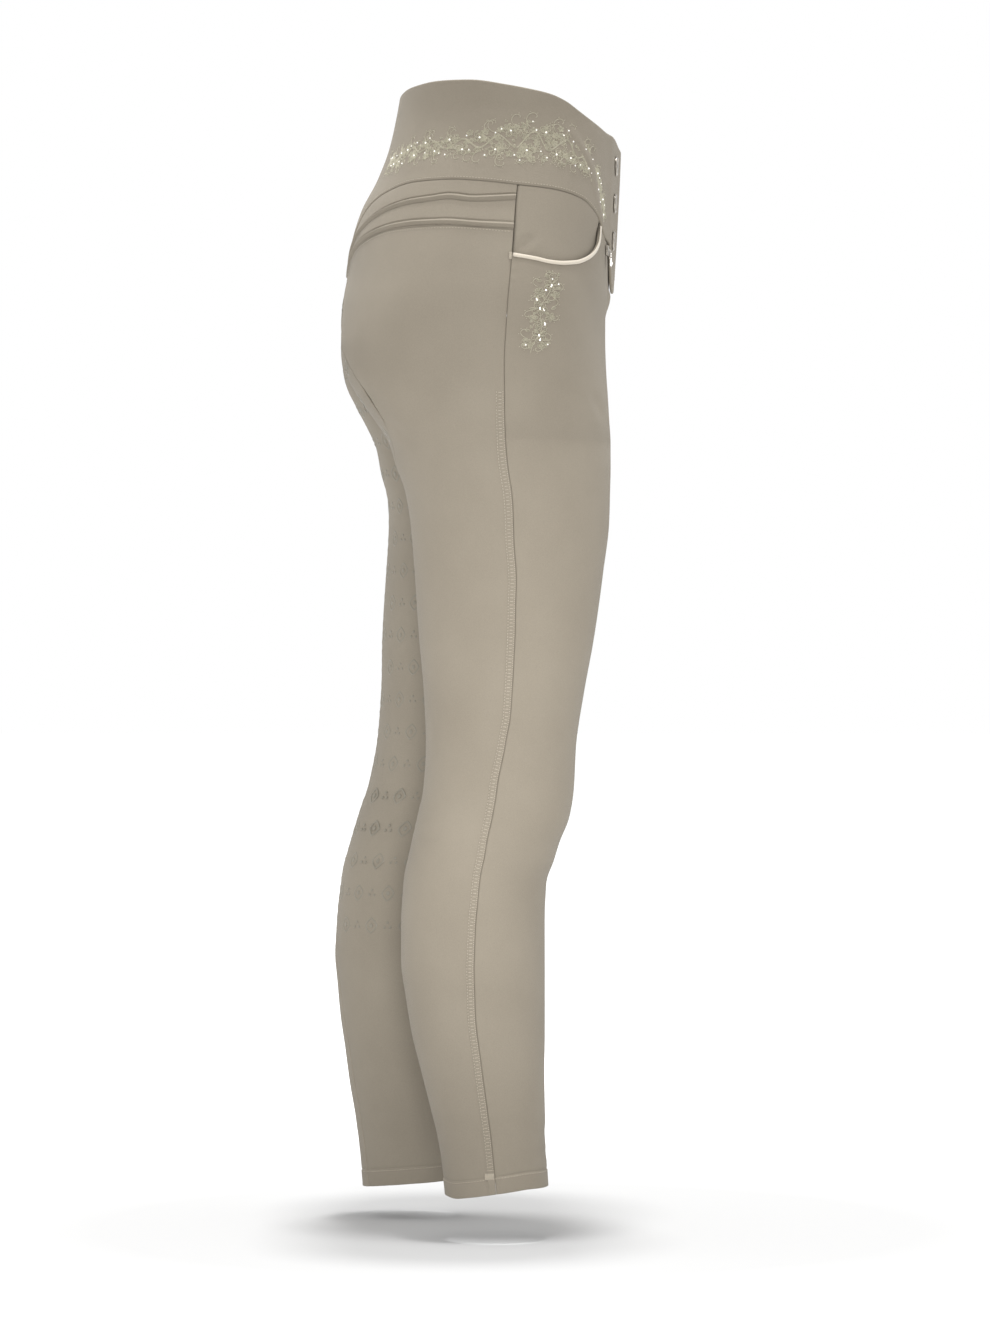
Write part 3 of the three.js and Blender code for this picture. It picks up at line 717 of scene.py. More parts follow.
def leg_panels(side, left):
    seam_edges = {"start": "seam", "end": "seam", "top": "seam", "bottom": "free"}
    u, z = leg_grid(edge_shares(210, 40), inseam, outseam, front_top, left)
    relief = Relief(flat_base, hem_turn, seam_pucker("end"), *FRONT_FOLDS)
    shell(f"front_leg_{side}", u, z, left, relief, LEG_WALL, seam_edges, CLOTH)
    u, z = leg_grid(edge_shares(120, 26), outseam, rear_seam, yoke_line, left)
    relief = Relief(flat_base, hem_turn, side_band, seam_pucker("end"), *BACK_FOLDS)
    shell(f"back_leg_{side}", u, z, left, relief, LEG_WALL, seam_edges, CLOTH)
    u, z = leg_grid(edge_shares(110, 24), rear_seam, inner_seam, yoke_line, left)
    relief = Relief(flat_base, hem_turn, seam_pucker("start"), *SEAT_FOLDS)
    shell(f"seat_grip_panel_{side}", u, z, left, relief, LEG_WALL, seam_edges, GRIP)


def back_yoke(side, left):
    lines = [BAND_SEAM, TUCK_1, TUCK_2, YOKE_SEAM]
    columns = np.concatenate([[SIDE_U], SIDE_U + np.array([0.4, 1, 2, 3.5]) / 560,
                              np.linspace(SIDE_U + 0.01, 0.99, 110), [0.995, 0.998, 1]])
    between = np.linspace(0, 1, 34)
    rows = []
    for upper, lower in zip(lines, lines[1:]):
        top = height(upper, columns)
        bottom = height(lower, columns)
        rows += [mix(top, bottom, share) for share in between[:-1]]
    rows.append(height(YOKE_SEAM, columns))
    z = np.stack(rows)
    u = np.broadcast_to(columns, z.shape)

    def tucks(u, z, distance):
        total = np.zeros_like(u)
        narrow = mix(1.0, 0.72, ease((u - 0.75) / 0.25))
        for line in (TUCK_1, TUCK_2):
            off = z - height(line, u)
            ridge = 1.75 * bump(off / narrow, 1.3)
            sides = 0.95 * bump((np.abs(off) / narrow - 2.6), 0.5)
            total += ridge - sides
        return total

    edges = {"start": "seam", "end": "seam", "top": "seam", "bottom": "seam"}
    relief = Relief(flat_base, tucks)
    shell(f"back_yoke_{side}", u, z, left, relief, LEG_WALL, edges, CLOTH)


HIP_RIDGE = table("z u", [
    (-112, 0.309), (-101, 0.317), (-84, 0.3355), (-63, 0.3505), (-50, 0.362), (-37.5, 0.3785), (-26.5, 0.395),
    (-14, 0.412),
])


def hip_ridge(u, z, distance):
    """A soft ridge where the band bends over the front of the hip."""
    off = (u - seam_u(HIP_RIDGE, z)) * girth(z)
    ends = ease((z + 112) / 22) * ease((-12 - z) / 16)
    return 0.9 * bump(off, 4.5) * ends


def waistband(side, left):
    first = -0.04 if left else -0.1
    fine = np.array([0, 0.5, 1, 1.8, 3]) / 480
    columns = np.concatenate([first + fine, np.linspace(first + 0.012, 0.245, 52),
                              np.linspace(0.249, 0.275, 12), np.linspace(0.281, 0.99, 118),
                              [0.994, 0.998, 1]])

    def bottom(u):
        seam = height(BAND_SEAM, u)
        if left:
            return seam
        return np.where(u > FLAP_END_U, seam, height(FLAP_BOTTOM, u))

    def base(u, z):
        if left:
            return mix(-0.4, BAND_PROUD, ease((u - 0.12) / 0.08))
        return flap_lift(u)

    shares = np.concatenate([[0, 0.003, 0.007, 0.013, 0.02], np.linspace(0.03, 0.97, 60),
                             [0.98, 0.988, 0.994, 0.998, 1]])
    top = height(TOP_EDGE, columns)
    z = top + (bottom(columns) - top) * shares[:, None]
    u = np.broadcast_to(columns, z.shape)
    edges = {"start": "free", "end": "seam", "top": "free", "bottom": "seam"}
    relief = Relief(base, hip_ridge)
    shell(f"waistband_{side}", u, z, left, relief, BAND_WALL, edges, CLOTH, held_in=False)


def pocket_mouth(u):
    return np.minimum(height(POCKET_EDGE, u), height(BAND_SEAM, u) - 4)


def pocket_facing(side, left):
    columns = np.linspace(0.3285, 0.4775, 44)
    top = height(BAND_SEAM, columns)
    mouth = pocket_mouth(columns)
    z = top + (mouth - 12 - top) * np.linspace(0, 1, 48)[:, None]
    u = np.broadcast_to(columns, z.shape)

    def base(u, z):
        upper = height(BAND_SEAM, u)
        return -3.0 * ease((upper - z) / (upper - pocket_mouth(u) - 2))

    edges = {"start": "seam", "end": "seam", "top": "seam", "bottom": "free"}
    relief = Relief(base, fold((0.455, -112), (0.468, -130), 0.8, 4))
    shell(f"pocket_facing_{side}", u, z, left, relief, 1.2, edges, CLOTH)


def frame_along(points, normals):
    """Unit steps along a line and across it, in the surface."""
    along = np.gradient(points, axis=0)
    along /= np.linalg.norm(along, axis=1, keepdims=True)
    across = np.cross(normals, along)
    across /= np.linalg.norm(across, axis=1, keepdims=True)
    return along, across


def sweep(heap, points, normals, half_width, half_height, lift, sides=6, closed_ends=True):
    """A rounded cord of given half width and height along points on the cloth."""
    along, across = frame_along(points, normals)
    angles = np.linspace(0, 2 * np.pi, sides, endpoint=False)
    taper = np.ones(len(points))
    if closed_ends:
        taper[0] = 0.35
        taper[-1] = 0.35
    centres = points + normals * np.reshape(lift, (-1, 1))
    wide = (taper[:, None] * across * half_width)[:, None, :]
    high = (taper[:, None] * normals * half_height)[:, None, :]
    rings = centres[:, None, :] + np.cos(angles)[None, :, None] * wide + np.sin(angles)[None, :, None] * high
    count = len(points)
    faces = []
    for k in range(count - 1):
        for j in range(sides):
            nxt = (j + 1) % sides
            faces.append((k * sides + j, k * sides + nxt, (k + 1) * sides + nxt, (k + 1) * sides + j))
    faces.append(tuple(range(sides))[::-1])
    faces.append(tuple(range((count - 1) * sides, count * sides)))
    heap.add(rings.reshape(-1, 3), faces)


def pocket_binding(side, left):
    knots = table("k u z", [
        (0, 0.3272, -102.5), (1, 0.3292, -109.5), (2, 0.3335, -116), (3, 0.345, -122.8), (4, 0.3575, -127.5),
        (5, 0.376, -132.5), (6, 0.3965, -136.3), (7, 0.42, -137.8), (8, 0.434, -137.2), (9, 0.45, -134.9),
        (10, 0.4765, -131.7),
    ])
    k = np.linspace(0, 10, 70)
    u = lookup(knots["k"], knots["u"], k)
    z = lookup(knots["k"], knots["z"], k)
    points = surface_point(u, z, left)
    normals = surface_normal(u, z, left)
    across = frame_along(points, normals)[1]
    downward = np.where(across[:, 2:] > 0, -across, across)
    heap = Heap()
    sweep(heap, points + downward * 1.1, normals, 1.75, 0.62, 0.75, sides=12, closed_ends=False)
    piece = heap.piece(f"pocket_binding_{side}_satin", SATIN, "satin_binding")
    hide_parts(f"pocket_binding_{side}")


# Sewing


def even_line(u, z, left, pitch, lift):
    """Spots at an even pitch along a line, with normals, lifted by a size or by a function of u."""
    points = surface_point(u, z, left)
    run = np.concatenate([[0], np.cumsum(np.linalg.norm(np.diff(points, axis=0), axis=1))])
    at = np.arange(pitch / 2, run[-1], pitch)
    us = np.interp(at, run, u)
    zs = np.interp(at, run, z)
    normals = surface_normal(us, zs, left)
    rise = lift(us)[:, None] if callable(lift) else lift
    return surface_point(us, zs, left) + normals * rise, normals


def stitches(heap, points, normals, length, width=0.28, turn=0.0):
    """A small pointed thread at each spot, along the line or turned from it by some degrees."""
    if len(points) < 3:
        return
    along, across = frame_along(points, normals)
    c, s = math.cos(math.radians(turn)), math.sin(math.radians(turn))
    ahead = along * c + across * s
    beside = across * c - along * s
    tall = width * 0.9
    for p, n, a, b in zip(points, normals, ahead, beside):
        half = a * length / 2
        spots = [p - half, p + half]
        for share in (-0.28, 0.28):
            mid = p + a * length * share
            spots += [mid + b * width, mid + n * tall, mid - b * width, mid - n * tall * 0.5]
        faces = []
        for j in range(4):
            nxt = (j + 1) % 4
            faces.append((0, 2 + nxt, 2 + j))
            faces.append((2 + j, 2 + nxt, 6 + nxt, 6 + j))
            faces.append((1, 6 + j, 6 + nxt))
        heap.add(spots, faces)


def seam_sewing(side, left):
    heap = Heap()
    z = np.linspace(BAND_START_Z - 45, -922 - (LEFT_HEM_DROP if left else 0), 500)
    u = outseam(z)
    per = girth(z)
    for offset, pitch, length, turn in ((1.1, 1.9, 1.1, 0), (3.4, 3.1, 3.4, 90), (5.9, 2.6, 1.9, 0)):
        points, normals = even_line(u + offset / per, z, left, pitch, 0.32)
        stitches(heap, points, normals, length, 0.24, turn)
    columns = np.linspace(0.0, 1, 600)
    hem_line = height(HEM, columns) - (LEFT_HEM_DROP if left else 0) + HEM_DEPTH - 1.4
    points, normals = even_line(columns, hem_line, left, 2.7, 0.42)
    stitches(heap, points, normals, 1.9, 0.22)
    heap.piece(f"seam_thread_{side}", THREAD, "stretch_cloth")


def band_sewing(side, left):
    heap = Heap()
    columns = np.linspace(0.14 if left else 0.272, 0.995, 500)
    points, normals = even_line(columns, height(BAND_SEAM, columns) + 2.0, left, 2.7, BAND_PROUD + 0.02)
    stitches(heap, points, normals, 1.9, 0.22)
    back = np.linspace(SIDE_U + 0.004, 0.995, 400)
    points, normals = even_line(back, height(YOKE_SEAM, back) - 2.0, left, 2.7, 0.0)
    stitches(heap, points, normals, 1.9, 0.22)
    heap.piece(f"waist_thread_{side}", THREAD, "stretch_cloth")


def flap_sewing():
    """Topstitching down the flap's free end and along its lower edge."""
    heap = Heap()
    inset_u = 0.0075
    z_free = np.linspace(-30, -142, 120)
    u_low = np.linspace(-0.1 + inset_u, FLAP_END_U - inset_u, 200)
    lines = [
        (np.full_like(z_free, -0.1 + inset_u), z_free),
        (u_low, height(FLAP_BOTTOM, u_low) + 3.4),
    ]
    for u, z in lines:
        points, normals = even_line(u, z, False, 2.6, lambda us: flap_lift(us) + 0.02)
        stitches(heap, points, normals, 1.9, 0.24)
    heap.piece("flap_thread", THREAD, "stretch_cloth")


def bartacks(side, left):
    """Dense bars of thread: at the pocket mouth's ends and by the hem on the outer seam."""
    heap = Heap()
    drop = LEFT_HEM_DROP if left else 0
    spots = [(0.4795, -133.5, 5.5, 0), (0.517, -927 - drop, 8, 1)]
    for u0, z0, length, upright in spots:
        scale = girth(z0)
        steps = np.linspace(-0.5, 0.5, 16)
        if upright:
            us = u0 + steps * length / scale
            zs = np.full_like(us, z0)
        else:
            zs = z0 + steps * length
            us = np.full_like(zs, u0)
        normals = surface_normal(us, zs, left)
        points = surface_point(us, zs, left) + normals * 0.55
        stitches(heap, points, normals, 3.2 if not upright else 7.5, 0.3, 90)
    heap.piece(f"bartacks_{side}", THREAD, "stretch_cloth")


# Embroidery and stones


class Motif:
    """Threads and stones drawn in millimetres round anchors, then laid on the cloth at once."""

    def __init__(self, left, on_band):
        self.left = left
        self.on_band = on_band
        self.lines = []
        self.gems = []

    def spread(self, anchor, spots):
        spots = np.asarray(spots, float)
        return anchor[0] - spots[:, 0] / girth(anchor[1]), anchor[1] + spots[:, 1]

    def stroke(self, anchor, spots, width=0.24):
        self.lines.append((*self.spread(anchor, spots), width))

    def stone(self, anchor, spot, radius=0.8):
        self.gems.append((*self.spread(anchor, [spot]), radius))

    def rise(self, u):
        """How high the cloth's face lies over the plain surface."""
        if not self.on_band:
            return np.zeros_like(u)
        return np.full_like(u, BAND_PROUD) if self.left else flap_lift(u)

    def laid(self, kept):
        """Points and normals for all the kept strokes or stones, split up again."""
        u = np.concatenate([entry[0] for entry in kept])
        z = np.concatenate([entry[1] for entry in kept])
        normals = surface_normal(u, z, self.left)
        points = surface_point(u, z, self.left) + normals * self.rise(u)[:, None]
        ends = np.cumsum([len(entry[0]) for entry in kept])[:-1]
        return zip(np.split(points, ends), np.split(normals, ends), [entry[2] for entry in kept])

    def pieces(self, name, side):
        threads, stones = Heap(), Heap()
        for points, normals, width in self.laid(self.lines):
            sweep(threads, points, normals, width, 0.24, 0.1, sides=4)
        for points, normals, radius in self.laid(self.gems):
            gem(stones, points[0] + normals[0] * 0.12, normals[0], radius)
        threads.piece(f"{name}_embroidery_{side}", EMBROIDERY, "stretch_cloth")
        stones.piece(f"{name}_stones_{side}", STONE, "silver_metal", smooth=False)


def gem(heap, centre, normal, radius):
    """A cut stone: a round foot, a bevel and a flat table."""
    up = np.array([0.0, 0.0, 1.0])
    side = np.cross(up, normal)
    side /= np.linalg.norm(side)
    over = np.cross(normal, side)
    angles = np.linspace(0, 2 * np.pi, 8, endpoint=False)
    spots = []
    for share, level, twist in ((1, 0, 0), (1, 0.3, 0), (0.58, 0.8, 0.4)):
        for angle in angles + twist:
            outward = side * math.cos(angle) + over * math.sin(angle)
            spots.append(centre + outward * share * radius + normal * level * radius)
    faces = [tuple(range(8))[::-1], tuple(range(16, 24))]
    for ring in (0, 8):
        for j in range(8):
            nxt = (j + 1) % 8
            faces.append((ring + j, ring + nxt, ring + 8 + nxt, ring + 8 + j))
    heap.add(spots, faces)


def petal(length, width, angle, base=1.2):
    t = np.linspace(0, 1, 6)
    half = width / 2 * np.sin(np.pi * t) ** 0.8
    along = base + length * t
    right = np.stack([half, along], 1)
    left = np.stack([-half, along], 1)[::-1]
    loop = np.concatenate([right, left[1:]])
    c, s = math.cos(angle), math.sin(angle)
    return loop @ np.array([[c, -s], [s, c]]).T


def flower(motif, anchor, radius, petals, turn, heart=False):
    """An outlined blossom with a line in each petal, and a stone or a knot at its heart."""
    for k in range(petals):
        angle = turn + 2 * math.pi * k / petals
        motif.stroke(anchor, petal(radius, radius * 0.74, angle, 0.8), 0.22)
        motif.stroke(anchor, petal(radius * 0.62, radius * 0.34, angle, 1.2), 0.17)
    if heart:
        motif.stone(anchor, (0, 0), 0.85)
    else:
        motif.stroke(anchor, [(-0.6, 0), (0, 0), (0.6, 0)], 0.5)


def leaf(motif, anchor, length, angle):
    motif.stroke(anchor, petal(length, length * 0.42, angle, 0.3), 0.22)
    tip = np.array([-math.sin(angle), math.cos(angle)])
    motif.stroke(anchor, [tip * 0.5, tip * length * 0.5, tip * length * 0.95], 0.18)


def scroll(motif, anchor, size, angle, hand):
    """A tendril that curls in on itself, with knots of thread beside it."""
    t = np.linspace(0, 1, 20)
    turn = angle + hand * 5.4 * t ** 1.3
    step = size * (1.15 - t) * 0.16
    line = np.cumsum(np.stack([-np.sin(turn) * step, np.cos(turn) * step], 1), axis=0)
    motif.stroke(anchor, line, 0.22)
    for k in (5, 9, 13):
        out = line[k] + hand * np.array([math.cos(turn[k]), math.sin(turn[k])]) * 1.5
        motif.stroke(anchor, [out - 0.3, out, out + 0.3], 0.32)


def shifted(anchor, along, up):
    return (anchor[0] - along / girth(anchor[1]), anchor[1] + up)


GARLAND = table("u z reach", [
    (0.302, -96, 4.5), (0.318, -83.5, 5.5), (0.336, -66.5, 6.5), (0.3565, -52.5, 9), (0.3855, -41, 13.5),
    (0.4135, -37, 16), (0.4445, -33, 17.5), (0.48, -31, 18.5), (0.5075, -33, 14), (0.5355, -34, 10.5),
    (0.58, -34.5, 9.5), (0.6275, -35.5, 9), (0.695, -41.5, 8), (0.764, -44.5, 7),
])


def waist_garland(side, left, rng):
    """A winding stem with blossoms, leaves, curls and stones round the waistband."""
    motif = Motif(left, True)
    scale = girth(-35)
    knots = np.arange(len(GARLAND["u"]))
    fine = np.linspace(0, knots[-1], 400)
    u = lookup(knots, GARLAND["u"], fine)
    z = lookup(knots, GARLAND["z"], fine)
    reach = lookup(knots, GARLAND["reach"], fine)
    run = np.concatenate([[0], np.cumsum(np.hypot(np.diff(u) * scale, np.diff(z)))])
    along = np.gradient(-u * scale, run)
    rise = np.gradient(z, run)

    def spot(at, off):
        """The place at a run along the garland, and off to its upper side."""
        heading = np.array([np.interp(at, run, along), np.interp(at, run, rise)])
        aside = np.array([heading[1], -heading[0]])
        if aside[1] < 0:
            aside = -aside
        base = (float(np.interp(at, run, u)), float(np.interp(at, run, z)))
        return shifted(base, aside[0] * off, aside[1] * off), math.atan2(-heading[0], heading[1])

    def half(at):
        return float(np.interp(at, run, reach))

    wave = 27.0
    stem_at = np.arange(2, run[-1] - 2, 1.6)
    for offset in (0.0, 0.9):
        line = [spot(at, 0.42 * half(at) * math.sin(2 * math.pi * at / wave) + offset)[0] for at in stem_at]
        motif.lines.append((*np.array(line).T, 0.24))
    for k, at in enumerate(np.arange(7, run[-1] - 4, 6.2)):
        size = half(at)
        phase = math.sin(2 * math.pi * at / wave)
        lower = -1 if phase > 0 else 1
        bloom, heading = spot(at, lower * size * 0.5)
        if k % 2 == 0:
            flower(motif, bloom, min(5.6, 2.6 + 0.2 * size), 5 + k % 4 // 2, rng.uniform(0, 6.28), True)
        else:
            for turn in (-0.8, 0.0, 0.8):
                leaf(motif, bloom, 3.4 + 0.16 * size, heading + math.pi / 2 * lower + turn)
        curl, heading = spot(at + 3.2, -lower * size * 0.55)
        scroll(motif, curl, 5 + 0.42 * size, heading + rng.uniform(-0.7, 0.7), lower)
        for _ in range(2 + int(size / 2.6)):
            near, heading = spot(at + rng.uniform(-3.4, 3.4), rng.uniform(-1, 1) * size * 0.95)
            choice = rng.integers(4)
            if choice == 0:
                flower(motif, near, rng.uniform(1.9, 2.7), 5, rng.uniform(0, 6.28))
            elif choice == 1:
                scroll(motif, near, rng.uniform(4, 6), rng.uniform(0, 6.28), 1 if k % 2 else -1)
            else:
                leaf(motif, near, rng.uniform(2.6, 4), rng.uniform(0, 6.28))
        if k % 3 or size > 12:
            place, heading = spot(at + rng.uniform(-2, 2), -lower * rng.uniform(0.45, 1) * size)
            motif.stone(place, (0, 0), rng.uniform(0.55, 0.75))
    motif.pieces("waist", side)


SPRAY = table("u z reach", [(0.434, -160, 11), (0.4375, -181, 10.5), (0.4435, -204, 11)])


def thigh_spray(side, left, rng):
    """Three dense sprigs one above another below the pocket."""
    motif = Motif(left, False)
    stem_z = np.linspace(-218, -152, 40)
    stem_u = np.interp(stem_z, SPRAY["z"][::-1], SPRAY["u"][::-1]) + 0.004 * np.sin(stem_z / 6)
    motif.lines.append((stem_u, stem_z, 0.24))
    for k, (u, z, size) in enumerate(zip(SPRAY["u"], SPRAY["z"], SPRAY["reach"])):
        heart = (float(u), float(z))
        flower(motif, shifted(heart, 2.5 * (-1) ** k, 1.5), 5.4, 6 - k % 2, rng.uniform(0, 6.28), True)
        flower(motif, shifted(heart, -5.5 * (-1) ** k, -5.5), 3.4, 5, rng.uniform(0, 6.28))
        flower(motif, shifted(heart, 6.5 * (-1) ** k, -7.0), 2.8, 5, rng.uniform(0, 6.28))
        for angle in np.linspace(0, 2 * math.pi, 8)[:-1] + 0.4 * k:
            root = shifted(heart, -math.sin(angle) * 5.5, math.cos(angle) * 6.5)
            leaf(motif, root, size * 0.42, angle + 0.35)
        for angle in np.linspace(0.5, 6.4, 6):
            root = shifted(heart, -math.sin(angle) * 6, math.cos(angle) * 7)
            scroll(motif, root, size * 0.62, angle - 0.4, 1 if k % 2 else -1)
        for _ in range(9):
            near = shifted(heart, rng.uniform(-1, 1) * size * 0.9, rng.uniform(-1.1, 1.1) * size)
            leaf(motif, near, rng.uniform(2.2, 3.4), rng.uniform(0, 6.28))
        for _ in range(4):
            spot = (rng.uniform(-1, 1) * size, rng.uniform(-1.05, 1.05) * size)
            motif.stone(heart, spot, rng.uniform(0.6, 0.8))
    motif.pieces("thigh", side)


# Silicone print


def pad(prints, anchor, outline, height_mm=0.3, hole=0.0):
    """A small raised print with a bevelled edge, or a ring of it where hole is its inner share."""
    outline = np.asarray(outline, float)
    count = len(outline)
    profile = [(1.0, -0.05), (0.95, height_mm * 0.7), (0.88, height_mm)]
    if hole:
        profile += [(hole + 0.06, height_mm), (hole, -0.05)]
    spots = np.concatenate([outline * shrink for shrink, _ in profile])
    lift = np.repeat([level for _, level in profile], count)
    faces = []
    for ring in range(len(profile) - 1):
        for j in range(count):
            a, b = ring * count + j, ring * count + (j + 1) % count
            faces.append((a, b, b + count, a + count))
    if not hole:
        faces.append(tuple(range((len(profile) - 1) * count, len(profile) * count)))
    prints.append((anchor[0] - spots[:, 0] / girth(anchor[1]), anchor[1] + spots[:, 1], lift, faces))


def lozenge(width, tall, count=24, power=1.3):
    angles = np.linspace(0, 2 * np.pi, count, endpoint=False)
    c, s = np.cos(angles), np.sin(angles)
    radius = (np.abs(c) ** power + np.abs(s) ** power) ** (-1 / power)
    return np.stack([c * radius * width / 2, s * radius * tall / 2], 1)


GRIP_ROW_PITCH = 29.0
GRIP_PITCH = 31.0


def grip_print(side, left):
    """Staggered lozenges with a dot inside, and three dots between, down the seat and the inner leg."""
    prints = []
    for row, z0 in enumerate(np.arange(-168, -748, -GRIP_ROW_PITCH)):
        scale = girth(z0)
        at = float(rear_seam(z0)) + (11 + (row % 2) * GRIP_PITCH / 2) / scale
        last = float(inner_seam(z0)) - 10 / scale
        while at < last:
            pad(prints, (at, z0), lozenge(12.5, 15.0), hole=0.74)
            pad(prints, (at, z0), lozenge(3.6, 4.4, 12, 2.0))
            beside = at + GRIP_PITCH / 2 / scale
            if beside < last:
                for along, up in ((0, 2.8), (-2.5, -1.5), (2.5, -1.5)):
                    pad(prints, shifted((beside, z0), along, up), lozenge(2.6, 2.6, 10, 2.0))
            at += GRIP_PITCH / scale
    u, z, lift = (np.concatenate([entry[k] for entry in prints]) for k in range(3))
    points = surface_point(u, z, left) + surface_normal(u, z, left) * lift[:, None]
    heap = Heap()
    ends = np.cumsum([len(entry[0]) for entry in prints])[:-1]
    for spots, entry in zip(np.split(points, ends), prints):
        heap.add(spots, entry[3])
    heap.piece(f"grip_print_{side}", SILICONE, "grip_cloth")


# Snaps and zip


SNAP_U = 0.2
SNAP_HEIGHTS = (-45, -78, -111)
SNAP_PROFILE = ((0, 0.25), (8.0, 0.25), (8.35, 0.5), (8.5, 0.95), (8.4, 1.4), (8.0, 1.85), (7.4, 2.15),
                (6.9, 2.2), (6.5, 2.05), (6.2, 1.75), (5.6, 1.7), (4.6, 1.8), (3.2, 1.95), (2.2, 2.1),
                (1.9, 2.35), (1.3, 2.45), (0, 2.45))


def flap_face(u, z):
    return surface_point(u, z, False) + surface_normal(u, z, False) * flap_lift(u)


def snap(number, z):
    """A turned cap with a rolled rim, a dished face and a small centre boss."""
    centre = flap_face(SNAP_U, z)
    side = flap_face(SNAP_U + 0.03, z) - flap_face(SNAP_U - 0.03, z)
    up = flap_face(SNAP_U, z + 8) - flap_face(SNAP_U, z - 8)
    axis = np.cross(up, side)
    axis /= np.linalg.norm(axis)
    side = side / np.linalg.norm(side)
    over = np.cross(axis, side)
    sectors = 56
    angles = np.linspace(0, 2 * np.pi, sectors, endpoint=False)
    ring = np.cos(angles)[:, None] * side + np.sin(angles)[:, None] * over
    points = [centre + axis * SNAP_PROFILE[0][1]]
    for radius, level in SNAP_PROFILE[1:-1]:
        points.extend(centre + axis * level + ring * radius)
    points.append(centre + axis * SNAP_PROFILE[-1][1])
    faces = []
    for j in range(sectors):
        nxt = (j + 1) % sectors
        faces.append((0, 1 + nxt, 1 + j))
        for r in range(len(SNAP_PROFILE) - 3):
            a = 1 + r * sectors
            faces.append((a + j, a + nxt, a + sectors + nxt, a + sectors + j))
        rim = 1 + (len(SNAP_PROFILE) - 3) * sectors
        faces.append((rim + j, rim + nxt, len(points) - 1))
    piece = mesh_object(f"snap_{number}_cap", points, faces, METAL)
    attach(piece, "breeches")
    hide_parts(f"snap_{number}")


SLIDER_U = 0.276
SLIDER_Z = -122
SLIDER_OUTLINE = ((-2.1, -4.5), (2.1, -4.5), (3.5, 0.5), (3.1, 4.5), (0.8, 4.5), (0.8, 2.5), (-0.8, 2.5),
                  (-0.8, 4.5), (-3.1, 4.5), (-3.5, 0.5))
PULL_OUTLINE = ((-1.6, 0.8), (1.6, 0.8), (2, 0.2), (1.7, -5.5), (3, -7.5), (3.4, -11), (2.6, -14.2),
                (-2.6, -14.2), (-3.4, -11), (-3, -7.5), (-1.7, -5.5), (-2, 0.2))


PULL_FACE = 4.5
PULL_STONES = ((0, -11, 1.7), (-1.9, -9, 0.8), (1.9, -9, 0.8), (-1.9, -12.7, 0.8), (1.9, -12.7, 0.8),
               (0, -7.2, 0.9), (0, -4.6, 0.7), (0, -2.6, 0.7))


def zip_frame():
    origin = surface_point(SLIDER_U, SLIDER_Z, False)
    outward = surface_normal(SLIDER_U, SLIDER_Z, False)
    outward[2] = 0
    outward /= np.linalg.norm(outward)
    up = np.array([0.0, 0.0, 1.0])
    return origin, outward, up, np.cross(up, outward)


def flat_metal(name, outline, low, high, body, node, material):
    """A flat cast piece with a bevelled edge."""
    origin, outward, up, sideways = zip_frame()
    count = len(outline)
    points = []
    for level in (low, high):
        points += [origin + sideways * s + up * t + outward * level for s, t in outline]
    faces = [tuple(range(count))[::-1], tuple(range(count, 2 * count))]
    faces += [(k, (k + 1) % count, count + (k + 1) % count, count + k) for k in range(count)]
    piece = mesh_object(name, points, faces, material, smooth=False)
    edge = piece.modifiers.new("edge", "BEVEL")
    edge.width = 0.3 * MM
    edge.segments = 3
    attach(piece, body)
    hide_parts(node)


def zip_pieces():
    flat_metal("zip_slider_body", SLIDER_OUTLINE, 0.5, 2.7, "breeches", "fly_zip_slider", METAL)
    flat_metal("zip_pull_tab", PULL_OUTLINE, 3.3, PULL_FACE, "zip_pull", "fly_zip_pull", METAL)
    origin, outward, up, sideways = zip_frame()
    stones = Heap()
    for s, t, radius in PULL_STONES:
        gem(stones, origin + sideways * s + up * t + outward * PULL_FACE, outward, radius)
    stones.piece("zip_pull_stones", STONE, "silver_metal", smooth=False, body="zip_pull")


# Stage, light and camera

CAMERA_DISTANCE = 4.5
CAMERA_X = -0.0116
CAMERA_Z = -0.4806
METRES_PER_PIXEL = 0.00089
IMAGE_HEIGHT = 1320
FLOOR_Z = -0.985
FLOOR_REACH = 30.0
GLOW_START = 1.05
GLOW_FULL = 1.4
GLOW_STRENGTH = 0.6


def floor_material():
    """Pale grey under the lamps, glowing a little more with distance, so that it all stays even."""
    material, tree, shader = node_material("studio_floor", (0.5, 0.5, 0.5), 0.9)
    shader.inputs["Specular IOR Level"].default_value = 0.0
    shader.inputs["Emission Color"].default_value = (1, 1, 1, 1)
    place = add_node(tree, "ShaderNodeTexCoord")["Object"]
    reach = add_node(tree, "ShaderNodeVectorMath", "LENGTH", _0=place)["Value"]
    glow = add_node(tree, "ShaderNodeMapRange", Value=reach, From_Min=GLOW_START, From_Max=GLOW_FULL,
                    To_Min=0.0, To_Max=GLOW_STRENGTH)
    tree.links.new(glow["Result"], shader.inputs["Emission Strength"])
    return material


def stage():
    """A wide pale floor under a white sky."""
    turns = np.linspace(0, 2 * math.pi, 64, endpoint=False)
    rim = [(FLOOR_REACH * math.cos(a) / MM, FLOOR_REACH * math.sin(a) / MM, FLOOR_Z / MM) for a in turns]
    mesh_object("studio_floor", rim, [tuple(range(len(rim)))], floor_material())


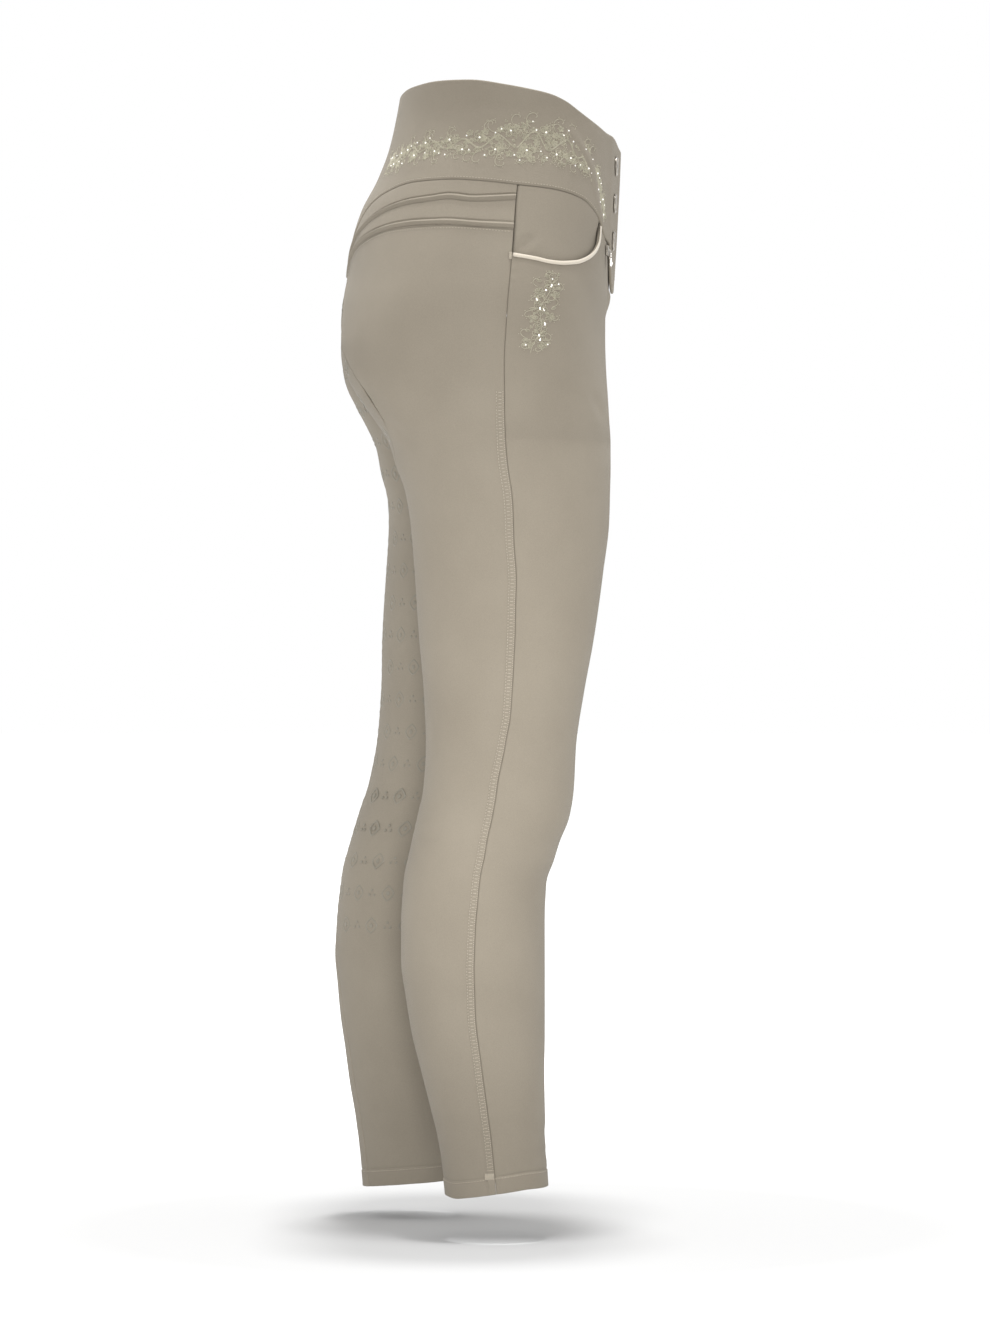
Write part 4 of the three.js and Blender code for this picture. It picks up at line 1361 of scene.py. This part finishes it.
def lamp(name, kind, place, target, power, **facts):
    data = bpy.data.lights.new(name, kind)
    data.energy = power
    for key, value in facts.items():
        setattr(data, key, value)
    made = bpy.data.objects.new(name, data)
    made.location = place
    made.rotation_euler = (Vector(target) - Vector(place)).to_track_quat("-Z", "Y").to_euler()
    bpy.context.scene.collection.objects.link(made)


def lights():
    lamp("key", "SPOT", (-0.02, -1.62, -0.56), (-0.05, -0.12, -0.60), 64,
         spot_size=math.radians(39), spot_blend=1.0, shadow_soft_size=0.2)
    lamp("fill", "AREA", (-0.6, -3.4, 0.1), (0, 0, -0.5), 3, shape="DISK", size=1.6)
    for name, tilt in (("overhead_front", -0.75), ("overhead_back", 0.75)):
        lamp(name, "AREA", (0.10, tilt, 6.0), (-0.04, 0, -0.98), 250, shape="DISK", size=0.8)
    world = bpy.data.worlds.new("studio")
    bpy.context.scene.world = world
    world.use_nodes = True
    world.node_tree.nodes["Background"].inputs["Color"].default_value = (1, 1, 1, 1)
    world.node_tree.nodes["Background"].inputs["Strength"].default_value = 1.0


def camera():
    data = bpy.data.cameras.new("photo_view")
    data.sensor_width = 36
    data.lens = 36 * CAMERA_DISTANCE / METRES_PER_PIXEL / IMAGE_HEIGHT
    data.clip_end = 50
    eye = bpy.data.objects.new("photo_view", data)
    eye.location = (CAMERA_X, -CAMERA_DISTANCE, CAMERA_Z)
    eye.rotation_euler = (math.pi / 2, 0, 0)
    bpy.context.scene.collection.objects.link(eye)
    bpy.context.scene.camera = eye


bpy.context.scene.view_settings.view_transform = "Standard"
camera()
stage()
lights()
for side_name in ("right", "left"):
    is_left = side_name == "left"
    random_draws = np.random.default_rng(7 if is_left else 5)
    leg_panels(side_name, is_left)
    back_yoke(side_name, is_left)
    waistband(side_name, is_left)
    pocket_facing(side_name, is_left)
    pocket_binding(side_name, is_left)
    seam_sewing(side_name, is_left)
    band_sewing(side_name, is_left)
    bartacks(side_name, is_left)
    waist_garland(side_name, is_left, random_draws)
    thigh_spray(side_name, is_left, random_draws)
    grip_print(side_name, is_left)
flap_sewing()
for snap_number, snap_z in enumerate(SNAP_HEIGHTS, 1):
    snap(snap_number, snap_z)
zip_pieces()
